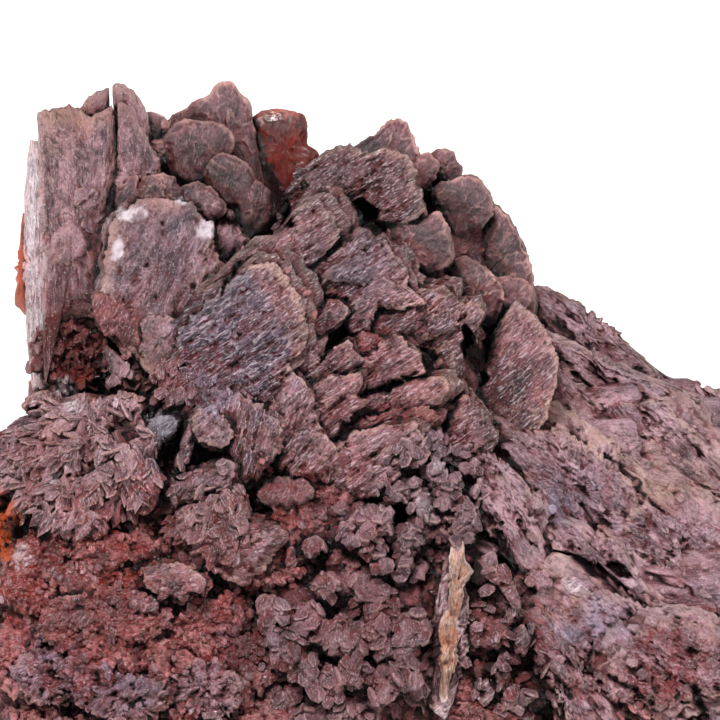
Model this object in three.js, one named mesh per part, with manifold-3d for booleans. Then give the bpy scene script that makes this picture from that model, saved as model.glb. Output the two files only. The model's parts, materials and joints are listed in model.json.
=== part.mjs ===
// A hand specimen of red gypsum: lens-shaped blades grown together on a granular red matrix.
// Millimetres, +Z up, the show face towards -Y, resting on the flat cut at z = 0.
import * as THREE from 'three';
import { mergeVertices } from 'three/addons/utils/BufferGeometryUtils.js';
import Module from 'manifold-3d';

// The crystals are placed on the growth face, which leans back from the upright:
// "across" runs to the right, "up" runs up the face and "out" stands off it.
const FACE_LEAN_DEG = 12;
const BASE_UP = -6;
const ORIGIN_ACROSS = 50.2;
const ORIGIN_DEPTH = 16.5;

// How a crystal's rim is made.
const RIM_SPACING = 4.5;
const RIM_POINTS_MIN = 7;
const RIM_POINTS_MAX = 10;
const RIM_INSET = 0.16;
const RIM_DROP = 0.3;
const RIM_DROP_THICKEST = 4;
const ROOT_DEPTH = 1.7;
const PETAL_BACK = 0.74;
const FACE_DOME = 0.16;

const SMALL_LENS_POINTS = 7;
const SMALL_LENS_THICK = 6;
const BACK_LENS_SECTORS = 8;
const BACK_LENS_BANDS = 2;

// The flat resting cut, across and deep in the part's frame. The underside rises away from it.
const FOOT_OUTLINE = [[-38, -20], [36, -18], [27, 15], [-30, 15]];
const FOOT_SPREAD = 0.23;
const STANDING_HEIGHT = 100;

const WELD_DISTANCE = 1e-4;

const STONE_COLOUR = '#7a5358';

// Each crystal: name, out of its middle, slope of its face along across and up,
// thickness, habit, outline (across, up). A tablet keeps square sides, a petal's sides draw in
// towards a flat back, and a blade narrows to a buried root. A lens is a blade with a rounded
// outline and a crowned face.
const TABLETS = [
  ['tablet_left', 2.2, [-0.16, -0.02], 6, 'tablet',
    [[4.6, 75.9], [6.9, 76.6], [9.8, 76.9], [10.8, 75.4], [12.5, 76], [14.1, 77.1], [14.8, 64.4],
      [14, 52.5], [13, 48.8], [10.6, 50.5], [7.5, 49.8], [6.5, 43.5], [5.5, 41.8], [5, 58.8]]],
  ['tablet_right', 1.2, [-0.3, -0.02], 6, 'tablet',
    [[14.7, 77.1], [15.8, 76.9], [16.6, 76], [18.6, 72.4], [20.4, 68.6], [17.5, 67.5],
      [17.3, 63.1], [16.3, 53.8], [14.6, 52.5]]],
  ['tablet_back_left', -2.6, [-0.15, 0], 4, 'tablet',
    [[9.5, 76], [11, 77.9], [12.3, 78.9], [13.5, 79.5], [13.8, 57.5], [9.3, 55], [7.5, 65]]],
  ['tablet_back_right', -2.9, [-0.2, 0], 4, 'tablet',
    [[14, 79.5], [15.4, 79.5], [16.6, 78.8], [18.3, 76], [19.1, 71.3], [19.5, 66.3],
      [18.8, 57.5], [14.1, 56.3]]],
  ['side_layer_front', -0.8, [1.2, 0], 4, 'tablet',
    [[4.3, 72.9], [4.9, 71.3], [5.4, 52.5], [5.8, 41.8], [4.6, 41.6], [4.3, 52.5], [4, 65]]],
  ['side_layer_back', -4, [1, 0], 5, 'tablet',
    [[3.4, 72.4], [4.8, 72.5], [5.2, 52.5], [5.6, 41.5], [3.8, 41.4], [3, 50], [2.8, 65]]],
  ['red_backing', -7.5, [0.3, 0], 4, 'lens',
    [[2.5, 63.5], [4.2, 62.8], [4.8, 52.5], [3.6, 50], [1.6, 52.1], [2, 58.1]]],
  ['tablet_boss', 3.6, [-0.2, 0], 3, 'lens',
    [[5.8, 60], [8.5, 62.3], [11.5, 60.3], [11.3, 58.3], [8.6, 56.6], [6, 58]]],
];

const SHIELD = [
  ['shield_blade', 8.2, [-0.1, -0.12], 7, 'blade',
    [[13.5, 60], [14, 62.3], [17, 64.8], [21.5, 65], [23.9, 64.6], [25.5, 62.5], [26.5, 62],
      [26.6, 59], [28.3, 56], [26.8, 54.3], [27.3, 53], [24.9, 51], [22.5, 45.9], [19.8, 42.5],
      [16, 46.3], [14, 48.8], [12.5, 52.5]]],
  ['shield_foot', 9.6, [0.05, 0.1], 3.4, 'blade',
    [[17.8, 49.8], [19, 51], [20.8, 50.5], [22.6, 49.8], [22.5, 45.9], [19.8, 41.8], [17.3, 45.8]]],
  ['red_flap', 8.9, [0.2, 0.05], 4, 'blade',
    [[11.6, 52.5], [12.6, 53.5], [15.3, 51.5], [17.1, 51], [17.5, 46.8], [15.1, 47.3],
      [12.9, 48.5], [11.8, 50.8]]],
  ['shield_chip', 8.4, [-0.2, 0], 8, 'blade',
    [[24.8, 49.8], [25.8, 48.8], [25.4, 47.5], [23.3, 45.3], [22.9, 46], [23.9, 48.3]]],
  ['shield_hem', 6.4, [0, 0.1], 6, 'lens',
    [[13, 46.9], [16, 44.8], [20, 42], [22, 41], [20, 39.8], [16.8, 40.3], [14, 42]]],
  ['side_lens', 4.2, [-0.1, 0], 6, 'lens',
    [[27, 62.3], [28.5, 62.5], [30.9, 60.3], [30.8, 58.8], [28.4, 57], [26.6, 59.6]]],
];

const CROWN = [
  ['pink_flake_a', 5.6, [0.1, 0], 8, 'blade',
    [[15, 64.8], [15.3, 66.5], [16.8, 68], [17.5, 67.1], [17.3, 64.5]]],
  ['pink_flake_b', 6.1, [0, 0], 8, 'blade',
    [[17.3, 64.3], [17.5, 67], [18.8, 68], [20, 67.6], [20.6, 66.1], [20, 64.5]]],
  ['pink_flake_c', 5.3, [-0.1, 0], 8, 'blade',
    [[19, 65.1], [19.1, 67.4], [20.1, 68.3], [21.4, 68], [22.4, 66.9], [23, 65.6], [22.3, 64.5]]],
  ['crown_lens', 5.2, [-0.1, -0.1], 10, 'lens',
    [[23, 66.1], [25, 67.1], [27.5, 65.4], [28, 63.8], [26, 62.4], [23.5, 64.6]]],
];

const REAR_LENSES = [
  ['dark_nub', -5.5, [0, 0], 5, 'lens',
    [[18.4, 76], [20.4, 75.5], [21.5, 73.5], [20, 71], [18.4, 73]]],
  ['dark_shoulder', -9, [0, 0], 5, 'lens',
    [[20.8, 74.5], [23.3, 76.8], [26, 77.6], [26.5, 72], [22, 71]]],
  ['tall_lens', -5.5, [-0.1, -0.1], 6, 'petal',
    [[25.2, 77.3], [26.5, 78.8], [27.6, 79.9], [28.9, 80], [29.8, 78.9], [30.8, 77.6], [31.4, 75],
      [31.8, 72.5], [32.5, 68], [31.3, 64], [27, 66], [25.2, 72]]],
  ['low_lens', -1, [-0.1, -0.12], 5, 'lens',
    [[21.3, 72.4], [22.8, 74.6], [25.3, 75], [28.9, 73.6], [28.6, 70.5], [26, 67], [22.6, 68]]],
  ['red_lens', -8, [-0.12, -0.1], 6, 'petal',
    [[32.1, 74.9], [33, 76], [35, 76.4], [37.4, 76], [38.2, 75], [38.3, 72.8], [39.4, 71.8],
      [39.6, 70.8], [38, 67.6], [35.5, 65], [32.3, 69], [32, 72]]],
  ['pair_lens_left', 0.8, [0, -0.15], 5, 'lens',
    [[26, 68], [27.4, 70.5], [29.3, 70.5], [31.4, 68.9], [31.8, 65.5], [28.5, 64.4]]],
  ['pair_lens_right', 0.6, [-0.2, -0.1], 5, 'lens',
    [[30, 66.3], [31.8, 67.5], [33.9, 66], [34.4, 63], [31.3, 59.9], [30.1, 61.8]]],
];

const FAN = [
  ['crest', 6.6, [-0.16, -0.05], 8, 'blade',
    [[33, 56], [34.5, 60], [36.3, 64.5], [38, 68.8], [39.6, 70.3], [43.2, 71.6], [49.6, 70.7],
      [51, 65.5], [49.5, 63], [45.8, 64.8], [42.5, 62.4], [38, 60]]],
  ['crest_ledge_low', 7.2, [-0.12, -0.05], 3, 'lens',
    [[41.3, 66.5], [45.5, 67.8], [49.8, 69.2], [50.2, 65], [46, 65.3], [42, 64.4]]],
  ['ridge_blade', 10, [-0.14, -0.02], 8, 'blade',
    [[25.5, 51.5], [29, 55.5], [35.5, 61], [37.5, 64], [39.8, 64.9], [42, 62.2], [41.2, 60],
      [33.8, 54.8], [30, 52.5], [27, 51]]],
  ['ridge_lobe', 8.4, [-0.12, 0], 6, 'lens',
    [[36.5, 59.5], [38, 61], [43, 61.6], [43.9, 60.3], [41, 58.5], [38.5, 58.3]]],
  ['left_lobe', 12.4, [-0.13, 0], 9, 'blade',
    [[25, 50.4], [29.5, 54.5], [32.3, 56.8], [34.5, 56.6], [37.3, 53.3], [38, 47.3], [34, 47.1],
      [35.1, 44.1], [34, 40.8], [30, 37.5], [27, 38.5], [23.3, 41.8], [23.3, 44.3],
      [24.3, 46.3]]],
  ['left_toe', 13, [-0.1, 0], 7, 'lens',
    [[27, 40.5], [30, 41], [34.3, 37.8], [34.6, 35.3], [32.8, 33], [30.1, 29.9], [29.4, 33.5],
      [27.5, 37.3]]],
  ['left_ledge', 13.7, [-0.09, 0.03], 4, 'blade',
    [[32.8, 54.8], [34.5, 56], [36.1, 54.8], [37, 52.8], [37.3, 50], [36.3, 48.3], [34.5, 48.5],
      [32.8, 47], [30.8, 47.8], [29.8, 50.3]]],
  ['centre_lobe', 9.8, [-0.15, 0], 8, 'blade',
    [[37.5, 54.9], [37.2, 57], [39, 58.8], [40.3, 57.8], [42, 59.3], [43.8, 60.3], [46.6, 60.9],
      [49.1, 58.8], [50.1, 57.6], [51.1, 54.9], [52.3, 53.5], [50, 52.8], [45.8, 52.8],
      [41, 53.8]]],
  ['centre_tail', 9.4, [-0.1, 0], 5, 'blade',
    [[43.5, 52.5], [45.3, 53.5], [48.5, 54.4], [47.1, 50.9], [46.1, 49.3], [44.5, 49]]],
  ['small_lobe', 10.6, [-0.1, 0], 12, 'lens',
    [[38, 49.5], [38.9, 51.1], [42, 52.5], [43.4, 51.3], [41.5, 49.2], [40.3, 48.5]]],
  ['pink_lump', 11, [0, 0], 5, 'lens',
    [[37.5, 46], [38.6, 48.6], [40, 48], [39.8, 45.5], [38, 44]]],
  ['right_lobe', 8.4, [-0.16, 0], 8, 'blade',
    [[46.8, 47.8], [47.4, 50.5], [48.9, 52], [52.5, 53.8], [55.8, 54.1], [56.4, 52.9],
      [55.8, 50], [55, 47.8], [51.3, 47.1]]],
  ['right_lobe_tip', 8.9, [-0.25, 0], 7, 'blade',
    [[54.8, 51], [57.1, 53.1], [58.1, 52.1], [59.8, 52.2], [60, 50.3], [58.4, 45.5], [57.4, 43.4],
      [55.4, 46.8]]],
  ['strip_upper', 11, [-0.1, 0], 5, 'blade',
    [[38.5, 43.3], [39.9, 45.1], [43.6, 47.5], [44.3, 46], [45, 45.3], [41.3, 42.6],
      [39.5, 41.3]]],
  ['strip_right', 10.6, [-0.12, 0], 6, 'blade',
    [[44.5, 43.5], [45.8, 45.3], [49.8, 47.4], [51.1, 46.9], [53.3, 44.8], [52.9, 43.6],
      [48.3, 42.4], [46, 42]]],
  ['strip_middle', 11.8, [-0.08, 0], 7, 'blade',
    [[39.3, 40.8], [40.6, 42.3], [45.1, 43.6], [45.4, 42.4], [44.9, 41], [45.8, 40.5],
      [43.5, 38.4], [41.6, 35.4], [40.3, 36.9], [39.1, 38.8]]],
  ['strip_long', 10.8, [-0.14, 0], 6, 'blade',
    [[43.8, 38.5], [45.5, 40.1], [52, 42.5], [55.1, 42.9], [55.8, 41.3], [53.1, 38.8],
      [46.5, 37]]],
  ['red_band', 10.6, [-0.12, 0], 5, 'blade',
    [[41.6, 35], [43.3, 36.6], [49.5, 38.6], [53.3, 39.1], [55, 38.4], [53.9, 36.6], [47.5, 34.8],
      [44, 33]]],
  ['lower_lobe', 12.4, [-0.12, 0], 7, 'blade',
    [[40.1, 33.5], [42, 33.8], [45, 35.8], [51.8, 37.3], [53.3, 33.9], [50.8, 32.1], [48.9, 29.9],
      [44.3, 29.8], [41.4, 32]]],
  ['front_strip', 11.8, [-0.05, 0], 7, 'blade',
    [[32.8, 38.5], [33.5, 40.5], [36.6, 43.4], [38.9, 41.1], [39.1, 38.3], [41.5, 35.1],
      [40.1, 32.1], [35.6, 33], [34.4, 34.9]]],
  ['spur', 7.6, [-0.2, 0], 6, 'blade',
    [[53, 43.5], [55.8, 46], [57.5, 43.3], [57.8, 41.3], [56.5, 40.3], [55, 42.5]]],
  ['spur_foot', 8.4, [-0.1, 0], 6, 'lens',
    [[55.8, 37.5], [58, 40.5], [60.5, 37.5], [60.8, 35.8], [58.5, 33.8], [56, 34]]],
];

const PETALS = [
  ['outer_blade', 4.6, [-0.22, 0.05], 7, 'petal',
    [[58.3, 42.5], [60.5, 44.3], [62.5, 45.9], [63.9, 47.3], [65, 48.6], [66.6, 48.8],
      [68.8, 46.3], [69.4, 44.5], [68.5, 40.3], [65, 37.5], [62.8, 36.8], [60.8, 39.4],
      [59.6, 40.3]]],
  ['outer_blade_top', 1.6, [-0.3, -0.1], 6, 'petal',
    [[61.8, 46.8], [62.5, 49], [64.3, 51.6], [65.1, 51.8], [67.6, 48.9], [64.5, 47.5],
      [63.1, 46.3]]],
  ['petal_crest', -4.5, [-0.15, -0.1], 6, 'petal',
    [[44, 71.1], [45.3, 72.4], [48, 74], [49, 74.9], [50.3, 75], [51.3, 74.1], [52.6, 69.8],
      [51.3, 68.5], [46.3, 68.8]]],
  ['petal_notch', -4.2, [-0.2, 0], 5, 'lens',
    [[50.9, 68.5], [53, 70.9], [54.8, 70], [53.9, 67.5], [51.6, 66.6]]],
  ['petal_amber', -7.5, [-0.2, 0], 5, 'lens',
    [[53.9, 70.4], [55.9, 71.6], [57.3, 70.5], [57.6, 67.6], [55, 67.3], [54.2, 68.5]]],
  ['petal_round', -4.6, [-0.25, 0], 5, 'lens',
    [[55, 66.6], [57.8, 67.8], [60, 67.6], [61.5, 64.6], [60, 62.3], [57.3, 60.9], [55.5, 63.8]]],
  ['petal_long', -8, [-0.3, 0], 7, 'petal',
    [[60.8, 62.9], [61.4, 64.3], [62.5, 64.3], [64.4, 61.6], [66, 57.3], [66.5, 53.5],
      [65.5, 52], [63.5, 52.1], [59.5, 58], [59.5, 60.5]]],
  ['petal_long_foot', -4, [-0.2, 0], 5, 'lens',
    [[61.8, 54.1], [63, 55.3], [66.3, 54.3], [65.4, 51], [62.4, 51.5]]],
  ['petal_grey', 1.2, [-0.2, 0], 5, 'lens',
    [[56.3, 56.3], [58.8, 57.5], [61.4, 55.9], [62.8, 52.8], [61, 50.1], [58.4, 52.5]]],
  ['petal_crescent', -0.8, [-0.2, 0], 5, 'lens',
    [[51.3, 56], [54.4, 57], [56.6, 55], [56, 52.5], [52.8, 54]]],
  ['petal_smooth', 3.4, [-0.15, 0], 5, 'lens',
    [[47.3, 60.3], [49.5, 63.6], [52.5, 62.5], [55, 63.3], [56.3, 58.8], [54.3, 56.9],
      [49.5, 58.3]]],
  ['petal_slim', 1.2, [-0.2, 0], 5, 'lens',
    [[50.9, 66.8], [51.8, 67.4], [53, 64.5], [52.8, 63], [51.6, 62.8]]],
];

const SLOPE = [
  ['ridge_band', -17, [-0.2, -0.3], 6, 'petal',
    [[65.8, 54.3], [68.1, 54.4], [72.8, 52], [77.5, 48.3], [82.3, 43.8], [80, 41], [72, 45],
      [67, 50]]],
  ['ridge_tail', -20, [-0.1, -0.3], 6, 'petal',
    [[80, 45.8], [82.8, 43.4], [87.8, 41.8], [92, 40.5], [98, 35], [96, 31], [88, 35],
      [81, 40.5]]],
  ['shoulder_band', -9, [-0.2, -0.3], 6, 'petal',
    [[68.5, 46.8], [70.8, 47], [77.5, 44], [85.5, 40.3], [83, 38.5], [75.5, 39.5], [70.8, 43.5]]],
  ['slab_upper', -4.5, [-0.28, -0.3], 7, 'petal',
    [[67.9, 40.3], [68.6, 43.3], [70.3, 44.8], [73.5, 40.5], [79.5, 39.3], [83.5, 39.3],
      [89.5, 33.5], [93, 27.5], [88, 28.8], [81.9, 28.9], [74.8, 34.3], [69, 37]]],
  ['slab_middle', 4.4, [-0.2, -0.15], 9, 'blade',
    [[61.5, 34.9], [65.3, 37], [71.3, 36], [76.5, 32.3], [82.4, 26.1], [81.5, 24.9], [76.5, 24.3],
      [71.8, 22.5], [67.3, 26.5], [64, 31.8]]],
  ['arch_plate', 8, [-0.12, -0.1], 6, 'blade',
    [[56.5, 32.6], [58.3, 33.5], [60.8, 33.5], [65, 31], [66.1, 29.1], [66.8, 27.3], [63.3, 27.5],
      [58.8, 30.8]]],
  ['step_pink', 8.6, [-0.15, -0.1], 9, 'blade',
    [[60.3, 29.8], [62.5, 30.5], [64.9, 29], [67.4, 24], [68.3, 21], [66.4, 17.9], [63.3, 22.5],
      [60.5, 26.9]]],
  ['step_low', 6.4, [-0.2, -0.12], 6, 'blade',
    [[69, 24], [71.8, 24.5], [77.3, 21.9], [81, 16.5], [79.5, 16], [74.8, 20], [70, 21.5]]],
  ['slab_right', 2.4, [-0.28, -0.12], 9, 'blade',
    [[76.5, 24], [80, 25.5], [83.5, 27], [92.8, 24], [94.5, 18.8], [93.5, 14.3], [88.3, 14.5],
      [83, 19.5], [79, 20]]],
  ['slab_tail', -3, [-0.35, -0.2], 7, 'petal',
    [[82.5, 28.5], [86.3, 29], [94.5, 26], [98.8, 21.5], [99, 16], [95, 15], [88.3, 24.5]]],
  ['slab_low', 8.4, [-0.22, -0.08], 8, 'blade',
    [[69.5, 10], [70.3, 12.5], [75.1, 16], [82.3, 13.5], [92.8, 10], [96, 3.8], [94, -2.5],
      [87.5, -3.8], [80.8, -0.3], [73.3, 6.5]]],
  ['slab_front', 10.8, [-0.18, -0.06], 6, 'blade',
    [[77.8, 6.5], [80, 10], [83, 11.8], [87.5, 11.5], [91.3, 9.3], [93, 4.3], [87, 3.3],
      [83.5, 2], [80.5, 3.5]]],
  ['keel_blade', 11.6, [-0.15, -0.08], 6, 'blade',
    [[65.5, 12.3], [68.1, 12.9], [72.5, 7.5], [76.8, 0.5], [75.5, -2.8], [71.5, -0.3],
      [67, 9.3]]],
  ['chip_fan', 9.4, [-0.1, -0.1], 6, 'blade',
    [[65.9, 18], [67, 19.1], [68.5, 18.8], [69.1, 17.5], [67.8, 14.8], [67, 14.5]]],
];

const FRONT = [
  ['honey_blade', 15.2, [-0.2, 0], 6, 'blade',
    [[56.3, 22.4], [57.3, 22.8], [58.9, 21.3], [59.4, 19.6], [58.5, 17], [58, 14.5], [57.8, 9],
      [56.1, 2.3], [55, 0.9], [54.7, 7.5], [55.3, 13.5], [56.9, 17.5]]],
  ['column_knob', 12.8, [0, 0], 6, 'lens',
    [[56.8, 25.4], [58, 27.6], [59.5, 26], [59, 22.8], [56.6, 22.5]]],
  ['long_knob', 13, [0.1, 0], 6, 'lens',
    [[47.9, 27.6], [49.8, 29.9], [52.8, 30.2], [52, 28.8], [49.5, 27.2]]],
  ['big_lens', 14.4, [0, 0], 7, 'lens',
    [[42.3, 24], [45, 26.3], [48, 26.4], [48.5, 23.3], [45, 21.9], [42.6, 22.4]]],
  ['grey_blade', 13, [-0.1, 0], 11, 'blade',
    [[17.4, 34.9], [19.6, 37.8], [22.4, 37.5], [21.6, 35.6], [18.8, 33.4]]],
  ['thorn_blade', 13.4, [0.1, 0], 12, 'blade',
    [[21.8, 31.8], [22.4, 34], [23.8, 37.4], [24.4, 35.3], [24.1, 33.3], [23.1, 31.8]]],
  ['shield_plate', 14.6, [-0.1, 0], 7, 'blade',
    [[24, 37.4], [24.9, 39], [26.4, 39.5], [27.8, 38.3], [29.4, 35.6], [28.4, 34.1], [25, 34.9]]],
  ['grey_lump', 14.2, [0, 0.1], 14, 'lens',
    [[20.4, 28.5], [24.3, 31.3], [28.9, 32.3], [29, 28.9], [26.8, 29.8], [23.5, 26.5]]],
  ['rosette_body', 16.6, [0, 0], 8, 'lens',
    [[22.6, 24.9], [25.6, 27.5], [29.5, 28.9], [31.6, 25.6], [35.8, 23.5], [35, 21.4],
      [31, 17.1], [26.5, 18.6], [23.6, 21.1]]],
  ['scallop_plate', 17, [0, 0.1], 6, 'blade',
    [[18, 17.5], [18.8, 18.8], [23, 19.5], [26, 17.3], [22.6, 14.9], [19, 15.8]]],
];

// Small lens crystals of the lower front: middle (across, up, out), half width, half height,
// turn in the plane of the face in degrees.
const SMALL_LENSES = [
  // the scaly cluster at the lower left
  [[5.5, 39.8, 8], 3.2, 1.8, -20], [[3.4, 36.6, 9], 3, 1.5, 25], [[7.6, 37, 12], 2.8, 1.6, 50],
  [[11.5, 38.6, 11], 3, 1.5, -35], [[14.8, 39.4, 10], 2.6, 1.4, 20], [[4, 32.5, 12], 2.8, 1.5, -15],
  [[8.5, 33, 14], 3, 1.6, 35], [[12.8, 34.6, 14], 2.8, 1.5, -50], [[16, 31, 15.5], 1.7, 3, 12],
  [[18.3, 28.6, 15.5], 1.5, 3, -8], [[12.4, 29.4, 15], 2.6, 1.5, 40], [[8.2, 28.6, 14.5], 2.8, 1.5, 10],
  [[11.4, 24.4, 15.5], 2.4, 1.4, -40], [[4, 28.4, 12], 2.6, 1.4, 30],
  // the columns of lenses below the middle
  [[34, 13.5, 15.5], 1.9, 2.6, 18], [[38.4, 12.8, 16], 1.9, 2.4, -20], [[35.4, 9.3, 16.5], 1.9, 2.2, 30],
  [[38, 6.8, 16.5], 2.1, 1.8, -12], [[41, 4.6, 16.5], 2, 2.3, 24], [[42.8, 10, 16.5], 2.6, 3, 28],
  [[43.9, 5.8, 17], 2.6, 1.9, 12], [[48.9, 8.8, 16], 1.6, 1.6, 0], [[51.2, 11.2, 15.5], 2, 2.9, -24],
  [[50.8, 6.6, 16.5], 1.3, 2, 10], [[48, 4.6, 17], 2, 2.7, -18], [[40.6, 16.6, 15], 1.6, 1.9, 0],
  // the druse below the fan
  [[53.9, 31.4, 11], 1.5, 1.5, 0], [[55.6, 28.6, 11.5], 2, 2.4, 30], [[52.4, 27.4, 12.5], 1.5, 1.4, 0],
  [[39.4, 21.8, 14.5], 1.2, 1.2, 0], [[51, 22.4, 13], 1.9, 1.8, 20], [[50.4, 19.6, 13.5], 1.4, 1.5, 0],
  [[47.8, 19.4, 14.5], 1.5, 1.2, 0], [[60.5, 19, 12], 1.3, 2.4, -30], [[63.4, 14.6, 11.5], 1.6, 3, 34],
  // plates of the red mass
  [[35.8, 28.4, 12.5], 3.4, 1.9, 6], [[9, 12.6, 16], 4.4, 1.5, 4], [[6.8, 5.4, 16], 3.6, 2.8, -10],
  [[16.2, 2.6, 17], 3.8, 2.6, 12], [[26, 4.4, 17.5], 4, 3.2, -8], [[2.6, 18.6, 12], 2.4, 2.8, 16],
];

// Each rounded mass of the matrix: middle (across, up, out), half sizes along the same three,
// turn in the plane of the face in degrees. The matrix is their common hull, roughened.
const MATRIX_MASSES = [
  [[20, 38, -14], [17, 34, 15], 0],
  [[45, 33, -10], [26, 33, 18], 0],
  [[74, 25, -14], [34, 16, 15], -33],
  [[11, 31, 2], [10.5, 10, 10], 0],
  [[14, 12, 0], [18.5, 22, 15.5], 0],
  [[42, 8, 1], [32, 20, 14.5], 0],
  [[84, 7, -7], [23, 19, 14], 0],
  [[48, 12, -24], [43, 21, 20], 0],
  [[36, 42, -22], [26, 22, 17], 0],
  [[27.5, 63, -15], [13, 12.5, 10], 0],
  [[50, 56, -14], [14.5, 15.5, 12], 0],
  [[80, 36, -22], [20, 10.5, 11], -33],
  [[46, 0, -11], [38, 12, 14], 0],
];
const MATRIX_MIDDLE = [45, 26, -11];
const MATRIX_DETAIL = 7;
const MATRIX_ROUGHNESS = 1.1;
const MATRIX_WAVES = [[0.53, 0.31, 0.22, 0.4], [-0.27, 0.58, 0.35, 2.1], [0.33, -0.41, 0.62, 4.4]];

// The lens crystals of the hidden sides stand in turns of the golden angle round the matrix.
const BACK_LENS_COUNT = 20;
const BACK_LENS_HALF = [7.5, 11];
const BACK_LENS_FLATNESS = 0.34;
const BACK_LENS_SINK = 1;
const BACK_LENS_FIRST = 0.12;
const BACK_LENS_HEIGHT = 0.8;
const BACK_LENS_RISE = 0.9;
const GOLDEN_RATIO = (Math.sqrt(5) - 1) / 2;
const GOLDEN_ANGLE = Math.PI * (3 - Math.sqrt(5));

function growthFaceToWorld() {
  const lean = THREE.MathUtils.degToRad(FACE_LEAN_DEG);
  const across = new THREE.Vector3(1, 0, 0);
  const up = new THREE.Vector3(0, Math.sin(lean), Math.cos(lean));
  const out = new THREE.Vector3(0, -Math.cos(lean), Math.sin(lean));
  const matrix = new THREE.Matrix4().makeBasis(across, up, out);
  const baseHeight = BASE_UP * Math.cos(lean);
  matrix.premultiply(new THREE.Matrix4().makeTranslation(-ORIGIN_ACROSS, -ORIGIN_DEPTH, -baseHeight));
  return matrix;
}

// The rim of a crystal as evenly spread points, always anticlockwise seen from in front.
function rimOf(points, habit) {
  let rim = points.map(([across, up]) => new THREE.Vector2(across, up));
  if (habit === 'lens') {
    const knots = rim.map((point) => new THREE.Vector3(point.x, point.y, 0));
    const curve = new THREE.CatmullRomCurve3(knots, true, 'centripetal');
    const wanted = Math.round(curve.getLength() / RIM_SPACING);
    const count = THREE.MathUtils.clamp(wanted, RIM_POINTS_MIN, RIM_POINTS_MAX);
    const spaced = curve.getSpacedPoints(count).slice(0, count);
    rim = spaced.map((point) => new THREE.Vector2(point.x, point.y));
  }
  return THREE.ShapeUtils.area(rim) < 0 ? rim.reverse() : rim;
}

function middleOf(rim) {
  const sum = rim.reduce((total, point) => total.add(point), new THREE.Vector2());
  return sum.divideScalar(rim.length);
}

// Half of a crystal's section, from the middle of its root to the middle of its face.
function profileOf(thick, habit) {
  if (habit === 'scale') {
    const edge = new THREE.Vector2(1, 0);
    return [new THREE.Vector2(0, -ROOT_DEPTH * thick), edge, new THREE.Vector2(0, FACE_DOME * thick)];
  }
  const shoulder = new THREE.Vector2(1, -RIM_DROP * Math.min(thick, RIM_DROP_THICKEST));
  const faceEdge = new THREE.Vector2(1 - RIM_INSET, 0);
  const faceMiddle = new THREE.Vector2(0, habit === 'lens' ? FACE_DOME * thick : 0);
  if (habit === 'tablet') {
    const squareRoot = [new THREE.Vector2(0, -thick), new THREE.Vector2(1, -thick)];
    return [...squareRoot, shoulder, faceEdge, faceMiddle];
  }
  if (habit === 'petal') {
    const backEdge = new THREE.Vector2(PETAL_BACK, -thick);
    return [new THREE.Vector2(0, -thick), backEdge, shoulder, faceEdge, faceMiddle];
  }
  return [new THREE.Vector2(0, -ROOT_DEPTH * thick), shoulder, faceEdge, faceMiddle];
}

// A crystal is a turned blank whose round section is drawn out to the crystal's own rim.
function crystalGeometry([, out, [slopeAcross, slopeUp], thick, habit, points]) {
  const rim = rimOf(points, habit);
  const middle = middleOf(rim);
  const profile = profileOf(thick, habit);
  const geometry = new THREE.LatheGeometry(profile, rim.length);
  const position = geometry.getAttribute('position');
  for (let sector = 0; sector <= rim.length; sector += 1) {
    const corner = rim[sector % rim.length];
    for (let ring = 0; ring < profile.length; ring += 1) {
      const reach = profile[ring].x;
      const across = middle.x + reach * (corner.x - middle.x);
      const up = middle.y + reach * (corner.y - middle.y);
      const slope = slopeAcross * (across - middle.x) + slopeUp * (up - middle.y);
      const index = sector * profile.length + ring;
      position.setXYZ(index, across, up, out + slope + profile[ring].y);
    }
  }
  return geometry;
}

// A small lens crystal is a lens whose outline is an ellipse.
function smallLensGeometry([[across, up, out], halfWidth, halfHeight, turnDeg]) {
  const turn = THREE.MathUtils.degToRad(turnDeg);
  const ellipse = new THREE.EllipseCurve(across, up, halfWidth, halfHeight, 0, 2 * Math.PI, false, turn);
  const points = ellipse.getPoints(SMALL_LENS_POINTS).slice(1).map((point) => [point.x, point.y]);
  return crystalGeometry(['scale', out, [0, 0], SMALL_LENS_THICK, 'scale', points]);
}

// How far a ray from the middle of the matrix runs before it leaves one rounded mass for good.
function reachInMass(direction, [middle, halfSizes, turnDeg]) {
  const turn = new THREE.Matrix4().makeRotationZ(-THREE.MathUtils.degToRad(turnDeg));
  const squash = new THREE.Vector3(...halfSizes);
  const start = new THREE.Vector3(...MATRIX_MIDDLE).sub(new THREE.Vector3(...middle));
  start.applyMatrix4(turn).divide(squash);
  const step = direction.clone().applyMatrix4(turn).divide(squash);
  const a = step.dot(step);
  const b = start.dot(step);
  const c = start.dot(start) - 1;
  const root = b * b - a * c;
  return root < 0 ? 0 : (Math.sqrt(root) - b) / a;
}

function matrixSurface(direction) {
  const reach = Math.max(...MATRIX_MASSES.map((mass) => reachInMass(direction, mass)));
  const point = new THREE.Vector3(...MATRIX_MIDDLE).addScaledVector(direction, reach);
  const swell = MATRIX_WAVES.reduce((total, [kx, ky, kz, phase]) => {
    return total + Math.sin(kx * point.x + ky * point.y + kz * point.z + phase);
  }, 0);
  return point.addScaledVector(direction, MATRIX_ROUGHNESS * swell);
}

function matrixGeometry() {
  const geometry = new THREE.IcosahedronGeometry(1, MATRIX_DETAIL);
  const position = geometry.getAttribute('position');
  for (let index = 0; index < position.count; index += 1) {
    const direction = new THREE.Vector3().fromBufferAttribute(position, index).normalize();
    const point = matrixSurface(direction);
    position.setXYZ(index, point.x, point.y, point.z);
  }
  return geometry;
}

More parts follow.
